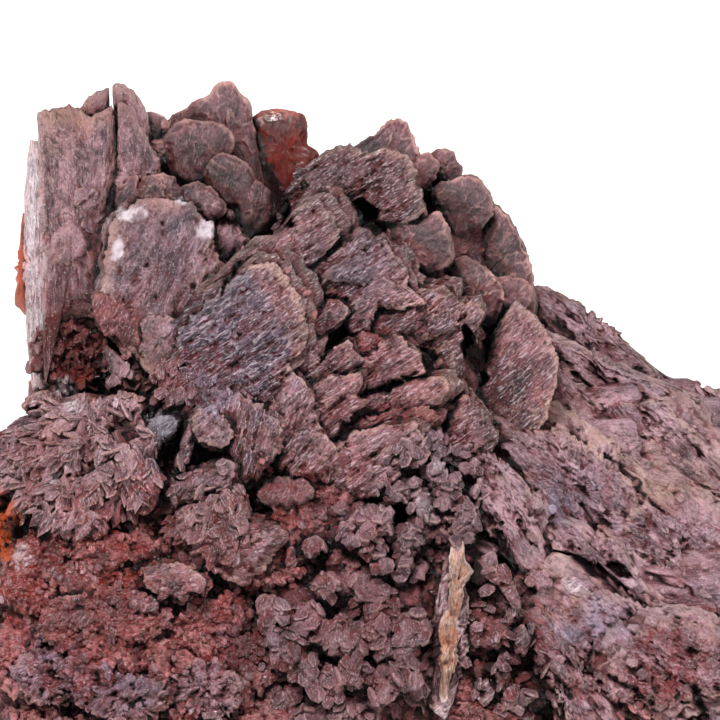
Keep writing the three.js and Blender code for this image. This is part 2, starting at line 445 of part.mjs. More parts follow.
// Directions over the half of the matrix that faces away from the viewer, in even turns.
function backDirections() {
  const directions = [];
  for (let index = 0; index < BACK_LENS_COUNT; index += 1) {
    const away = BACK_LENS_FIRST + ((1 - BACK_LENS_FIRST) * (index + 0.5)) / BACK_LENS_COUNT;
    const ring = Math.sqrt(1 - away * away);
    const turn = index * GOLDEN_ANGLE;
    directions.push(new THREE.Vector3(ring * Math.cos(turn), ring * Math.sin(turn), -away));
  }
  return directions;
}

// A lens of the back stands edge-on to the matrix, as a rosette's petals do.
function backLensGeometry(direction, index) {
  const [smallest, largest] = BACK_LENS_HALF;
  const share = (index * GOLDEN_RATIO) % 1;
  const half = smallest + (largest - smallest) * share;
  const geometry = new THREE.SphereGeometry(1, BACK_LENS_SECTORS, BACK_LENS_BANDS);
  geometry.scale(half, half * BACK_LENS_FLATNESS, half * BACK_LENS_HEIGHT);
  const lie = direction.clone();
  lie.y += BACK_LENS_RISE;
  lie.normalize();
  const facing = new THREE.Quaternion().setFromUnitVectors(new THREE.Vector3(0, 1, 0), lie);
  geometry.applyQuaternion(facing);
  const seat = matrixSurface(direction).addScaledVector(direction, -BACK_LENS_SINK);
  geometry.translate(seat.x, seat.y, seat.z);
  return geometry;
}

function toManifold(wasm, geometry) {
  geometry.deleteAttribute('normal');
  geometry.deleteAttribute('uv');
  const welded = mergeVertices(geometry, WELD_DISTANCE);
  const vertProperties = new Float32Array(welded.getAttribute('position').array);
  const corners = welded.getIndex().array;
  const kept = [];
  for (let i = 0; i < corners.length; i += 3) {
    const [a, b, c] = [corners[i], corners[i + 1], corners[i + 2]];
    if (a !== b && b !== c && c !== a) {
      kept.push(a, b, c);
    }
  }
  const triVerts = new Uint32Array(kept);
  return new wasm.Manifold(new wasm.Mesh({ numProp: 3, vertProperties, triVerts }));
}

function fromManifold(solid) {
  const mesh = solid.getMesh();
  const geometry = new THREE.BufferGeometry();
  geometry.setAttribute('position', new THREE.BufferAttribute(mesh.vertProperties, 3));
  geometry.setIndex(new THREE.BufferAttribute(mesh.triVerts, 1));
  geometry.computeVertexNormals();
  return geometry;
}

// Everything below the resting plane, which the finished specimen is cut off along.
function standingSpaceGeometry() {
  const foot = new THREE.Shape(FOOT_OUTLINE.map(([x, y]) => new THREE.Vector2(x, y)));
  const geometry = new THREE.ExtrudeGeometry(foot, { depth: STANDING_HEIGHT, bevelEnabled: false });
  const points = geometry.attributes.position;
  for (let i = 0; i < points.count; i += 1) {
    const widening = 1 + FOOT_SPREAD * points.getZ(i);
    points.setXY(i, points.getX(i) * widening, points.getY(i) * widening);
  }
  return geometry;
}

async function buildSpecimen() {
  const wasm = await Module();
  wasm.setup();
  const crystals = [...TABLETS, ...SHIELD, ...CROWN, ...REAR_LENSES, ...FAN, ...PETALS, ...SLOPE, ...FRONT];
  const grown = [
    matrixGeometry(),
    ...crystals.map(crystalGeometry),
    ...SMALL_LENSES.map(smallLensGeometry),
    ...backDirections().map(backLensGeometry),
  ];
  const toWorld = growthFaceToWorld();
  let specimen = null;
  for (const geometry of grown) {
    const solid = toManifold(wasm, geometry.applyMatrix4(toWorld));
    specimen = specimen ? specimen.add(solid) : solid;
  }
  return fromManifold(specimen.intersect(toManifold(wasm, standingSpaceGeometry())));
}

const material = new THREE.MeshStandardMaterial({ color: STONE_COLOUR, roughness: 0.85 });
const specimenMesh = new THREE.Mesh(await buildSpecimen(), material);
specimenMesh.name = 'gypsum_specimen';

const part = new THREE.Group();
part.name = 'red_gypsum_specimen';
part.add(specimenMesh);

export default part;
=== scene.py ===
"""Looks of the red gypsum specimen: fine blades, scales, granular matrix, finishes and stage.

Crystals are placed on the growth face, in millimetres: "across" runs to the right, "up" runs up
the face and "out" stands off it. growth_to_world turns that into the frame, in metres.
"""

import functools
import json
import math
from collections import namedtuple

import bmesh
import bpy
import numpy as np
from bpy.props import FloatProperty, FloatVectorProperty, PointerProperty
from bpy.types import Operator, Panel, PropertyGroup
from mathutils import Matrix, Vector
from mathutils.bvhtree import BVHTree

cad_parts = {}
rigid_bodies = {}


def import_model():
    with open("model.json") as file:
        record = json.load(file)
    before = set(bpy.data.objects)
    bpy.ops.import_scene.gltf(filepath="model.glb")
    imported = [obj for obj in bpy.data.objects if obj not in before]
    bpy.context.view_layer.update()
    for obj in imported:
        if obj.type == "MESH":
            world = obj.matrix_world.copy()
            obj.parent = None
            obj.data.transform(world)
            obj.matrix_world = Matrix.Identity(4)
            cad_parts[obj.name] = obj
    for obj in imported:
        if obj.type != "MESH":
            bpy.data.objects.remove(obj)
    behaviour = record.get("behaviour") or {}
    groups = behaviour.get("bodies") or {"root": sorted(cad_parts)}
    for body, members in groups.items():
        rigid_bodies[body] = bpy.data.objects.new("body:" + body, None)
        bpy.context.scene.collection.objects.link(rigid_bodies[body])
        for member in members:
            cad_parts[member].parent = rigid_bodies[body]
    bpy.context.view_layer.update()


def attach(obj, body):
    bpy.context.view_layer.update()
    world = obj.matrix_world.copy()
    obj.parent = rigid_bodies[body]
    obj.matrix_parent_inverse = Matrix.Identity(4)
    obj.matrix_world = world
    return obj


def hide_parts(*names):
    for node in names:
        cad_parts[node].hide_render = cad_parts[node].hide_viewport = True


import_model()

bl_info = {
    "name": "Red Gypsum Specimen",
    "version": (1, 0, 0),
    "blender": (4, 5, 0),
    "location": "3D View > Sidebar > Gypsum",
    "description": "Builds the crystals, matrix, finishes and stage of a gypsum specimen",
    "category": "Object",
}

MM = 0.001
NODE = "gypsum_specimen"
BODY = "root"

# The growth face in the frame, as in the solid.
FACE_LEAN = math.radians(12)
BASE_UP = -6
ORIGIN = np.array([50.2, 16.5, BASE_UP * math.cos(FACE_LEAN)])
GROWTH_AXES = np.array([
    [1, 0, 0],
    [0, math.sin(FACE_LEAN), math.cos(FACE_LEAN)],
    [0, -math.cos(FACE_LEAN), math.sin(FACE_LEAN)],
])

# How a crystal's rim and section are made. The root is as deep as in the solid, while the rim is
# sharper and the face flatter: inset and drop of the rim as shares of the reach and the thickness,
# the thickness in mm above which the drop stays the same, depth of the root in thicknesses, reach
# of the back or of the root's tip, and how far the middle of the face stands out, in thicknesses.
# The small lenses are as thick as in the solid, in mm.
RIM_INSET = 0.06
RIM_DROP = 0.13
RIM_DROP_THICKEST = 4
ROOT_DEPTH = 1.7
BACK_REACHES = {"tablet": 0.98, "petal": 0.74}
ROOT_TIP = 0.12
FACE_DOMES = {"lens": 0.12, "scale": 0.12, "petal": 0.1}
BLADE_DOME = 0.05
SMALL_LENS_THICK = 6

# Each crystal: name, out of its middle, slope of its face along across and up, thickness, habit,
# outline (across, up).
TABLETS = [
  ['tablet_left', 2.2, [-0.16, -0.02], 6, 'tablet',
    [[4.6, 75.9], [6.9, 76.6], [9.8, 76.9], [10.8, 75.4], [12.5, 76], [14.1, 77.1], [14.8, 64.4],
      [14, 52.5], [13, 48.8], [10.6, 50.5], [7.5, 49.8], [6.5, 43.5], [5.5, 41.8], [5, 58.8]]],
  ['tablet_right', 1.2, [-0.3, -0.02], 6, 'tablet',
    [[14.7, 77.1], [15.8, 76.9], [16.6, 76], [18.6, 72.4], [20.4, 68.6], [17.5, 67.5],
      [17.3, 63.1], [16.3, 53.8], [14.6, 52.5]]],
  ['tablet_back_left', -2.6, [-0.15, 0], 4, 'tablet',
    [[9.5, 76], [11, 77.9], [12.3, 78.9], [13.5, 79.5], [13.8, 57.5], [9.3, 55], [7.5, 65]]],
  ['tablet_back_right', -2.9, [-0.2, 0], 4, 'tablet',
    [[14, 79.5], [15.4, 79.5], [16.6, 78.8], [18.3, 76], [19.1, 71.3], [19.5, 66.3],
      [18.8, 57.5], [14.1, 56.3]]],
  ['side_layer_front', -0.8, [1.2, 0], 4, 'tablet',
    [[4.3, 72.9], [4.9, 71.3], [5.4, 52.5], [5.8, 41.8], [4.6, 41.6], [4.3, 52.5], [4, 65]]],
  ['side_layer_back', -4, [1, 0], 5, 'tablet',
    [[3.4, 72.4], [4.8, 72.5], [5.2, 52.5], [5.6, 41.5], [3.8, 41.4], [3, 50], [2.8, 65]]],
  ['red_backing', -7.5, [0.3, 0], 6, 'petal',
    [[2.5, 63.5], [4.2, 62.8], [4.8, 52.5], [3.6, 50], [1.6, 52.1], [2, 58.1]]],
  ['tablet_boss', 2.7, [-0.2, 0], 3, 'lens',
    [[5.8, 60], [8.5, 62.3], [11.5, 60.3], [11.3, 58.3], [8.6, 56.6], [6, 58]]],
]

SHIELD = [
  ['shield_blade', 8.2, [-0.1, -0.12], 7, 'blade',
    [[13.5, 60], [14, 62.3], [17, 64.8], [21.5, 65], [23.9, 64.6], [25.5, 62.5], [26.5, 62],
      [26.6, 59], [28.3, 56], [26.8, 54.3], [27.3, 53], [24.9, 51], [22.5, 45.9], [19.8, 42.5],
      [16, 46.3], [14, 48.8], [12.5, 52.5]]],
  ['shield_foot', 9.6, [0.05, 0.1], 3.4, 'blade',
    [[17.8, 49.8], [19, 51], [20.8, 50.5], [22.6, 49.8], [22.5, 45.9], [19.8, 41.8], [17.3, 45.8]]],
  ['red_flap', 8.9, [0.2, 0.05], 4, 'blade',
    [[11.6, 52.5], [12.6, 53.5], [15.3, 51.5], [17.1, 51], [17.5, 46.8], [15.1, 47.3],
      [12.9, 48.5], [11.8, 50.8]]],
  ['shield_chip', 8.4, [-0.2, 0], 8, 'blade',
    [[24.8, 49.8], [25.8, 48.8], [25.4, 47.5], [23.3, 45.3], [22.9, 46], [23.9, 48.3]]],
  ['shield_hem', 6.4, [0, 0.1], 6, 'lens',
    [[13, 46.9], [16, 44.8], [20, 42], [22, 41], [20, 39.8], [16.8, 40.3], [14, 42]]],
  ['side_lens', 4.2, [-0.1, 0], 6, 'lens',
    [[27, 62.3], [28.5, 62.5], [30.9, 60.3], [30.8, 58.8], [28.4, 57], [26.6, 59.6]]],
]

CROWN = [
  ['pink_flake_a', 5.6, [0.1, 0], 8, 'blade',
    [[15, 64.8], [15.3, 66.5], [16.8, 68], [17.5, 67.1], [17.3, 64.5]]],
  ['pink_flake_b', 6.1, [0, 0], 8, 'blade',
    [[17.3, 64.3], [17.5, 67], [18.8, 68], [20, 67.6], [20.6, 66.1], [20, 64.5]]],
  ['pink_flake_c', 5.3, [-0.1, 0], 8, 'blade',
    [[19, 65.1], [19.1, 67.4], [20.1, 68.3], [21.4, 68], [22.4, 66.9], [23, 65.6], [22.3, 64.5]]],
  ['crown_lens', 5.2, [-0.1, -0.1], 10, 'lens',
    [[23, 66.1], [25, 67.1], [27.5, 65.4], [28, 63.8], [26, 62.4], [23.5, 64.6]]],
]

REAR_LENSES = [
  ['dark_nub', -5.5, [0, 0], 5, 'lens',
    [[18.4, 76], [20.4, 75.5], [21.5, 73.5], [20, 71], [18.4, 73]]],
  ['dark_shoulder', -9, [0, 0], 5, 'lens',
    [[20.8, 74.5], [23.3, 76.8], [26, 77.6], [26.5, 72], [22, 71]]],
  ['tall_lens', -5.5, [-0.1, -0.1], 6, 'petal',
    [[25.2, 77.3], [26.5, 78.8], [27.6, 79.9], [28.9, 80], [29.8, 78.9], [30.8, 77.6], [31.4, 75],
      [31.8, 72.5], [32.5, 68], [31.3, 64], [27, 66], [25.2, 72]]],
  ['low_lens', -1, [-0.1, -0.12], 5, 'lens',
    [[21.3, 72.4], [22.8, 74.6], [25.3, 75], [28.9, 73.6], [28.6, 70.5], [26, 67], [22.6, 68]]],
  ['red_lens', -8, [-0.12, -0.1], 6, 'petal',
    [[32.1, 74.9], [33, 76], [35, 76.4], [37.4, 76], [38.2, 75], [38.3, 72.8], [39.4, 71.8],
      [39.6, 70.8], [38, 67.6], [35.5, 65], [32.3, 69], [32, 72]]],
  ['pair_lens_left', 0.8, [0, -0.15], 5, 'lens',
    [[26, 68], [27.4, 70.5], [29.3, 70.5], [31.4, 68.9], [31.8, 65.5], [28.5, 64.4]]],
  ['pair_lens_right', 0.6, [-0.2, -0.1], 5, 'lens',
    [[30, 66.3], [31.8, 67.5], [33.9, 66], [34.4, 63], [31.3, 59.9], [30.1, 61.8]]],
]

FAN = [
  ['crest', 6.6, [-0.16, -0.05], 8, 'blade',
    [[33, 56], [34.5, 60], [36.3, 64.5], [38, 68.8], [39.6, 70.3], [43.2, 71.6], [49.6, 70.7],
      [51, 65.5], [49.5, 63.8], [46.4, 64], [42.5, 62.4], [38, 60]]],
  ['crest_ledge_low', 7.2, [-0.12, -0.05], 3, 'lens',
    [[41.3, 66.8], [45.5, 68], [49.6, 69.2], [49.8, 66.6], [46, 66.2], [42, 65.6]]],
  ['ridge_blade', 10, [-0.14, -0.02], 8, 'blade',
    [[25.5, 51.5], [29, 55.5], [35.5, 61], [37.5, 64], [39.8, 64.9], [42, 62.2], [41.2, 60],
      [33.8, 54.8], [30, 52.5], [27, 51]]],
  ['ridge_lobe', 8.4, [-0.12, 0], 6, 'lens',
    [[36.5, 59.5], [38, 61], [43, 61.6], [43.9, 60.3], [41, 58.5], [38.5, 58.3]]],
  ['left_lobe', 12.4, [-0.13, 0], 9, 'blade',
    [[25, 50.4], [29.5, 54.5], [32.3, 56.8], [34.5, 56.6], [37.3, 53.3], [37.6, 48.8], [36, 46.6],
      [35.6, 44], [34, 40.8], [30, 37.5], [27, 38.5], [23.3, 41.8], [23.3, 44.3],
      [24.3, 46.3]]],
  ['left_toe', 13, [-0.1, 0], 7, 'lens',
    [[27, 40.5], [30, 41], [34.3, 37.8], [34.6, 35.3], [32.8, 33], [30.1, 29.9], [29.4, 33.5],
      [27.5, 37.3]]],
  ['left_ledge', 13.7, [-0.09, 0.03], 4, 'blade',
    [[32.8, 54.8], [34.5, 56], [36.1, 54.8], [37, 52.8], [37.3, 50], [36.3, 48.3], [34.5, 48.5],
      [32.8, 47], [30.8, 47.8], [29.8, 50.3]]],
  ['centre_lobe', 9.8, [-0.15, 0], 8, 'blade',
    [[37.5, 54.9], [37.2, 57], [39, 58.8], [40.3, 57.8], [42, 59.3], [43.8, 60.3], [46.6, 60.9],
      [49.1, 58.8], [50.1, 57.6], [51.1, 54.9], [52.3, 53.5], [50, 52.8], [45.8, 52.8],
      [41, 53.8]]],
  ['centre_tail', 9.4, [-0.1, 0], 5, 'blade',
    [[43.5, 52.5], [45.3, 53.5], [48.5, 54.4], [47.1, 50.9], [46.1, 49.3], [44.5, 49]]],
  ['small_lobe', 10.6, [-0.1, 0], 12, 'lens',
    [[38, 49.5], [38.9, 51.1], [42, 52.5], [43.4, 51.3], [41.5, 49.2], [40.3, 48.5]]],
  ['pink_lump', 11, [0, 0], 5, 'lens',
    [[37.5, 46], [38.6, 48.6], [40, 48], [39.8, 45.5], [38, 44]]],
  ['right_lobe', 8.4, [-0.16, 0], 8, 'blade',
    [[46.8, 47.8], [47.4, 50.5], [48.9, 52], [52.5, 53.8], [55.8, 54.1], [56.4, 52.9],
      [55.8, 50], [55, 47.8], [51.3, 47.1]]],
  ['right_lobe_tip', 8.9, [-0.25, 0], 7, 'blade',
    [[54.8, 51], [57.1, 53.1], [58.1, 52.1], [59.8, 52.2], [60, 50.3], [58.4, 45.5], [57.4, 43.4],
      [55.4, 46.8]]],
  ['strip_upper', 11, [-0.1, 0], 5, 'blade',
    [[38.5, 43.3], [39.9, 45.1], [43.6, 47.5], [44.3, 46], [45, 45.3], [41.3, 42.6],
      [39.5, 41.3]]],
  ['strip_right', 10.6, [-0.12, 0], 6, 'blade',
    [[44.5, 43.5], [45.8, 45.3], [49.8, 47.4], [51.1, 46.9], [53.3, 44.8], [52.9, 43.6],
      [48.3, 42.4], [46, 42]]],
  ['strip_middle', 11.8, [-0.08, 0], 7, 'blade',
    [[39.3, 40.8], [40.6, 42.3], [45.1, 43.6], [45.4, 42.4], [44.9, 41], [45.8, 40.5],
      [43.5, 38.4], [41.6, 35.4], [40.3, 36.9], [39.1, 38.8]]],
  ['strip_long', 10.8, [-0.14, 0], 6, 'blade',
    [[43.8, 38.5], [45.5, 40.1], [52, 42.5], [55.1, 42.9], [55.8, 41.3], [53.1, 38.8],
      [46.5, 37]]],
  ['red_band', 10.6, [-0.12, 0], 5, 'blade',
    [[41.6, 35], [43.3, 36.6], [49.5, 38.6], [53.3, 39.1], [55, 38.4], [53.9, 36.6], [47.5, 34.8],
      [44, 33]]],
  ['lower_lobe', 12.4, [-0.12, 0], 7, 'blade',
    [[40.1, 33.5], [42, 33.8], [45, 35.8], [51.8, 37.3], [53.3, 33.9], [50.8, 32.1], [48.9, 29.9],
      [44.3, 29.8], [41.4, 32]]],
  ['front_strip', 11.8, [-0.05, 0], 7, 'blade',
    [[32.8, 38.5], [33.5, 40.5], [36.6, 43.4], [38.9, 41.1], [39.1, 38.3], [41.5, 35.1],
      [40.1, 32.1], [35.6, 33], [34.4, 34.9]]],
  ['spur', 7.6, [-0.2, 0], 6, 'blade',
    [[53, 43.5], [55.8, 46], [57.5, 43.3], [57.8, 41.3], [56.5, 40.3], [55, 42.5]]],
  ['spur_foot', 8.4, [-0.1, 0], 6, 'lens',
    [[55.8, 37.5], [58, 40.5], [60.5, 37.5], [60.8, 35.8], [58.5, 33.8], [56, 34]]],
]

PETALS = [
  ['outer_blade', 4.6, [0.02, -0.06], 7, 'petal',
    [[58.9, 41.6], [60.6, 44.6], [62.2, 47.4], [63.4, 50.3], [64.9, 51.9], [66.6, 50.6],
      [68.2, 48.6], [69.3, 46.2], [69.2, 43.6], [68.5, 41.4], [68.2, 39.4], [66.4, 37],
      [63.8, 35.8], [61.4, 36.2], [60.6, 38.2], [59, 39.8]]],
  ['outer_blade_top', 1.6, [-0.3, -0.1], 6, 'petal',
    [[61.8, 46.8], [62.5, 49], [64.3, 51.6], [65.1, 51.8], [67.6, 48.9], [64.5, 47.5],
      [63.1, 46.3]]],
  ['petal_crest', -4.5, [-0.15, -0.1], 6, 'petal',
    [[44, 71.1], [45.3, 72.4], [48, 74], [49, 74.9], [50.3, 75], [51.3, 74.1], [52.6, 69.8],
      [51.3, 68.5], [46.3, 68.8]]],
  ['petal_notch', -4.2, [-0.2, 0], 5, 'lens',
    [[50.9, 68.5], [53, 70.9], [54.8, 70], [53.9, 67.5], [51.6, 66.6]]],
  ['petal_amber', -7.5, [-0.2, 0], 5, 'lens',
    [[53.9, 70.4], [55.9, 71.6], [57.3, 70.5], [57.6, 67.6], [55, 67.3], [54.2, 68.5]]],
  ['petal_round', -3.6, [-0.25, 0], 5, 'lens',
    [[55, 66.6], [57.8, 67.8], [60, 67.6], [61.5, 64.6], [60, 62.3], [57.3, 60.9], [55.5, 63.8]]],
  ['petal_long', -8, [-0.3, 0], 7, 'petal',
    [[60.8, 62.9], [61.4, 64.3], [62.5, 64.3], [64.4, 61.6], [66, 57.3], [66.5, 53.5],
      [65.5, 52], [63.5, 52.1], [59.5, 58], [59.5, 60.5]]],
  ['petal_long_foot', -4, [-0.2, 0], 5, 'lens',
    [[61.8, 54.1], [63, 55.3], [66.3, 54.3], [65.4, 51], [62.4, 51.5]]],
  ['petal_grey', 1.2, [-0.2, 0], 5, 'lens',
    [[56.3, 56.3], [58.8, 57.5], [61.4, 55.9], [62.8, 52.8], [61, 50.1], [58.4, 52.5]]],
  ['petal_crescent', -0.8, [-0.2, 0], 5, 'lens',
    [[51.3, 56], [54.4, 57], [56.6, 55], [56, 52.5], [52.8, 54]]],
  ['petal_smooth', 6.4, [-0.15, 0], 5, 'lens',
    [[47.3, 60.3], [49.5, 63.6], [52.5, 62.5], [55, 63.3], [56.3, 58.8], [54.3, 56.9],
      [49.5, 58.3]]],
  ['petal_slim', 1.2, [-0.2, 0], 5, 'lens',
    [[50.9, 66.8], [51.8, 67.4], [53, 64.5], [52.8, 63], [51.6, 62.8]]],
]

SLOPE = [
  ['ridge_band', -17, [-0.2, -0.3], 6, 'petal',
    [[65.8, 54.3], [68.1, 54.4], [72.8, 52], [77.5, 48.3], [82.3, 43.8], [80, 41], [72, 45],
      [67, 50]]],
  ['ridge_tail', -20, [-0.1, -0.3], 6, 'petal',
    [[80, 45.8], [82.8, 43.4], [87.8, 41.8], [92, 40.5], [98, 35], [96, 31], [88, 35],
      [81, 40.5]]],
  ['shoulder_band', -9, [-0.2, -0.3], 6, 'petal',
    [[68.5, 46.8], [70.8, 47], [77.5, 44], [85.5, 40.3], [83, 38.5], [75.5, 39.5], [70.8, 43.5]]],
  ['slab_upper', -4.5, [-0.28, -0.3], 7, 'petal',
    [[67.9, 40.3], [68.6, 43.3], [70.3, 44.8], [73.5, 40.5], [79.5, 39.3], [83.5, 39.3],
      [89.5, 33.5], [93, 27.5], [88, 28.8], [81.9, 28.9], [74.8, 34.3], [69, 37]]],
  ['slab_middle', 4.4, [-0.2, -0.15], 9, 'blade',
    [[61.5, 34.9], [65.3, 37], [71.3, 36], [76.5, 32.3], [82.4, 26.1], [81.5, 24.9], [76.5, 24.3],
      [71.8, 22.5], [67.3, 26.5], [64, 31.8]]],
  ['arch_plate', 8, [-0.12, -0.1], 6, 'blade',
    [[56.5, 32.6], [58.3, 33.5], [60.8, 33.5], [65, 31], [66.1, 29.1], [66.8, 27.3], [63.3, 27.5],
      [58.8, 30.8]]],
  ['step_pink', 8.6, [-0.15, -0.1], 9, 'blade',
    [[60.3, 29.8], [62.5, 30.5], [64.9, 29], [67.4, 24], [68.3, 21], [66.4, 17.9], [63.3, 22.5],
      [60.5, 26.9]]],
  ['step_low', 6.4, [-0.2, -0.12], 6, 'blade',
    [[69, 24], [71.8, 24.5], [77.3, 21.9], [81, 16.5], [79.5, 16], [74.8, 20], [70, 21.5]]],
  ['slab_right', 2.4, [-0.28, -0.12], 9, 'blade',
    [[76.5, 24], [80, 25.5], [83.5, 27], [92.8, 24], [94.5, 18.8], [93.5, 14.3], [88.3, 14.5],
      [83, 19.5], [79, 20]]],
  ['slab_tail', -3, [-0.35, -0.2], 7, 'petal',
    [[82.5, 28.5], [86.3, 29], [94.5, 26], [98.8, 21.5], [99, 16], [95, 15], [88.3, 24.5]]],
  ['slab_low', 8.4, [-0.22, -0.08], 8, 'blade',
    [[69.5, 10], [70.3, 12.5], [75.1, 16], [82.3, 13.5], [92.8, 10], [96, 3.8], [94, -2.5],
      [87.5, -3.8], [80.8, -0.3], [73.3, 6.5]]],
  ['slab_front', 10.8, [-0.18, -0.06], 6, 'blade',
    [[77.8, 6.5], [80, 10], [83, 11.8], [87.5, 11.5], [91.3, 9.3], [93, 4.3], [87, 3.3],
      [83.5, 2], [80.5, 3.5]]],
  ['keel_blade', 11.6, [-0.15, -0.08], 6, 'blade',
    [[65.5, 12.3], [68.1, 12.9], [72.5, 7.5], [76.8, 0.5], [75.5, -2.8], [71.5, -0.3],
      [67, 9.3]]],
  ['chip_fan', 9.4, [-0.1, -0.1], 6, 'blade',
    [[65.9, 18], [67, 19.1], [68.5, 18.8], [69.1, 17.5], [67.8, 14.8], [67, 14.5]]],
]

FRONT = [
  ['honey_blade', 15.8, [-0.1, 0], 2, 'petal',
    [[56.6, 22.4], [57.4, 23], [58, 22], [58.2, 20.2], [58.9, 18.4], [58, 17], [57.8, 15.2],
      [57.4, 13.2], [56.6, 12], [56.1, 13.6], [56, 15.8], [56.2, 17.6], [56, 19.8]]],
  ['honey_blade_low', 15.6, [-0.1, 0.04], 2, 'petal',
    [[56.8, 14.6], [57.3, 12.8], [57.6, 10.8], [57, 9.2], [57.2, 7], [56.2, 5.4], [56.2, 3.2],
      [55.2, 2.2], [54.8, 3.4], [55.1, 5.6], [54.6, 7.6], [55.1, 9.4], [54.7, 11.4], [55.4, 13.4]]],
  ['honey_hem', 14.1, [0.1, 0], 3, 'blade',
    [[55, 17], [56.6, 18.6], [58.6, 15.4], [58.4, 12], [58.2, 8.4], [57.4, 4.6], [55.6, 0.4],
      [53.6, 2.4], [54, 6.2], [53.4, 9], [54.2, 12.6]]],
  ['column_knob', 12.8, [0, 0], 6, 'lens',
    [[56.8, 25.4], [58, 27.6], [59.5, 26], [59, 22.8], [56.6, 22.5]]],
  ['long_knob', 13, [0.1, 0], 6, 'lens',
    [[47.9, 27.6], [49.8, 29.9], [52.8, 30.2], [52, 28.8], [49.5, 27.2]]],
  ['big_lens', 14.4, [0, 0], 7, 'lens',
    [[42.3, 24], [45, 26.3], [48, 26.4], [48.5, 23.3], [45, 21.9], [42.6, 22.4]]],
  ['grey_blade', 13, [-0.1, 0], 11, 'blade',
    [[17.4, 34.9], [19.6, 37.8], [22.4, 37.5], [21.6, 35.6], [18.8, 33.4]]],
  ['thorn_blade', 13.4, [0.1, 0], 12, 'blade',
    [[21.8, 31.8], [22.4, 34], [23.8, 37.4], [24.4, 35.3], [24.1, 33.3], [23.1, 31.8]]],
  ['shield_plate', 14.6, [-0.1, 0], 7, 'blade',
    [[24, 37.4], [24.9, 39], [26.4, 39.5], [27.8, 38.3], [29.4, 35.6], [28.4, 34.1], [25, 34.9]]],
  ['grey_lump', 14.2, [0, 0.1], 14, 'lens',
    [[20.4, 28.5], [24.3, 31.3], [28.9, 32.3], [29, 28.9], [26.8, 29.8], [23.5, 26.5]]],
  ['rosette_body', 15.8, [0, 0], 8, 'lens',
    [[22.6, 24.9], [25.6, 27.5], [29.5, 28.9], [31.6, 25.6], [35.8, 23.5], [35, 21.4],
      [31, 17.1], [26.5, 18.6], [23.6, 21.1]]],
  ['scallop_plate', 17.2, [0, 0.1], 3, 'petal',
    [[18, 17.5], [18.6, 18.8], [20.6, 19.4], [22.6, 19.6], [24.6, 18.6], [26, 17.3], [25.2, 16],
      [24, 16], [22.6, 14.9], [21.2, 15.4], [20.2, 14.9], [19, 15.8]]],
]

# Fine crystals that only the looks have, in the same form.
FINE = [
  ['tablet_flake', 3.2, [-0.2, 0.05], 2.4, 'lens',
    [[9.5, 66.3], [11, 66.8], [12.4, 65.6], [12.3, 64.1], [11, 63.5], [9.5, 64]]],
  ['shield_rib', 9.6, [0.2, 0], 3, 'blade',
    [[24.5, 51.3], [24.9, 50.4], [23.9, 48.3], [21.9, 43.3], [20.8, 41.5], [20.3, 42], [22.9, 47.8]]],
  ['side_knob', 3.6, [0, 0], 16, 'lens',
    [[28.1, 63.8], [29, 63.8], [29.4, 63], [28.9, 62.4], [28.1, 62.6]]],
  ['dark_cheek', -2.5, [0, 0], 7, 'lens',
    [[18.8, 72.5], [21.9, 71.8], [21.6, 69.5], [20, 68.5], [18.8, 70]]],
  ['crest_ledge_high', 8, [-0.12, -0.05], 3, 'lens',
    [[38.3, 68], [42, 69.4], [46.5, 70], [47.2, 68], [43.5, 66.3], [40, 65.8]]],
  ['centre_ledge', 11, [-0.12, 0], 3, 'lens',
    [[40.3, 55.5], [42.5, 57.3], [45.5, 58.8], [49.8, 57.5], [50.3, 56], [46, 54.2]]],
  ['strip_red_knot', 9.6, [-0.1, 0], 5, 'lens',
    [[43.8, 46.9], [45.1, 48.4], [46.6, 48.4], [47.9, 47.4], [45.1, 45.3]]],
  ['glint_blade', 8.8, [-0.1, -0.1], 6, 'blade',
    [[70, 17.8], [72.5, 17.8], [74.8, 15], [73.5, 14.3], [70.8, 16]]],
  ['small_step', 5.6, [-0.2, -0.1], 6, 'blade',
    [[81.3, 14.5], [83.5, 15.3], [89.5, 14.3], [91, 11.8], [88, 10.8], [82.5, 12.5]]],
  ['scallop_small', 16.4, [0, 0.1], 6, 'blade',
    [[15.9, 15.3], [17, 16.4], [19.8, 14.9], [19.6, 13.5], [16.5, 13.8]]],
  ['big_lens_foot', 14.2, [0, 0], 6, 'lens',
    [[44.8, 21], [46.3, 22.5], [48.3, 21.8], [47.5, 20], [45.5, 20.1]]],
  ['arm_plate', 13.2, [0.1, 0.1], 3, 'blade',
    [[60, 18.6], [61, 19.3], [62.8, 18.8], [64.4, 16.6], [65.2, 14.2], [64.2, 13.8], [63, 15.8],
      [61.6, 17.2], [60.4, 16.8]]],
  ['inner_plate_left', 13.4, [0.2, 0.1], 3, 'blade',
    [[58.4, 11.6], [59.6, 12.3], [60.8, 11], [60.4, 9.4], [58.8, 9.6]]],
  ['inner_plate_tall', 13.6, [-0.2, 0], 3, 'blade',
    [[62.2, 8], [63.2, 8.4], [63.6, 5], [62.8, 3.4], [62, 5]]],
  ['inner_plate_low', 14, [0.1, 0], 3, 'blade',
    [[59.4, 4.8], [60.8, 5.2], [61.8, 3.4], [60.6, 1.7], [59.6, 2.6]]],
  ['inner_plate_foot', 13.6, [0, 0.1], 3, 'blade',
    [[62.6, 3], [64.6, 3.9], [66.4, 2.8], [65.4, 1.2], [63.2, 1.4]]],
  ['inner_plate_right', 12.8, [-0.2, 0], 3, 'blade',
    [[64, 11.4], [65.4, 12], [66.2, 10], [65.4, 8.2], [64.4, 9.4]]],
  ['honey_shoulder', 13.6, [0.1, 0], 6, 'blade',
    [[55.5, 20], [57, 18.5], [55.5, 14.5], [54.3, 6.5], [53, 0.5], [52.5, 3.8], [54.5, 13.8]]],
]

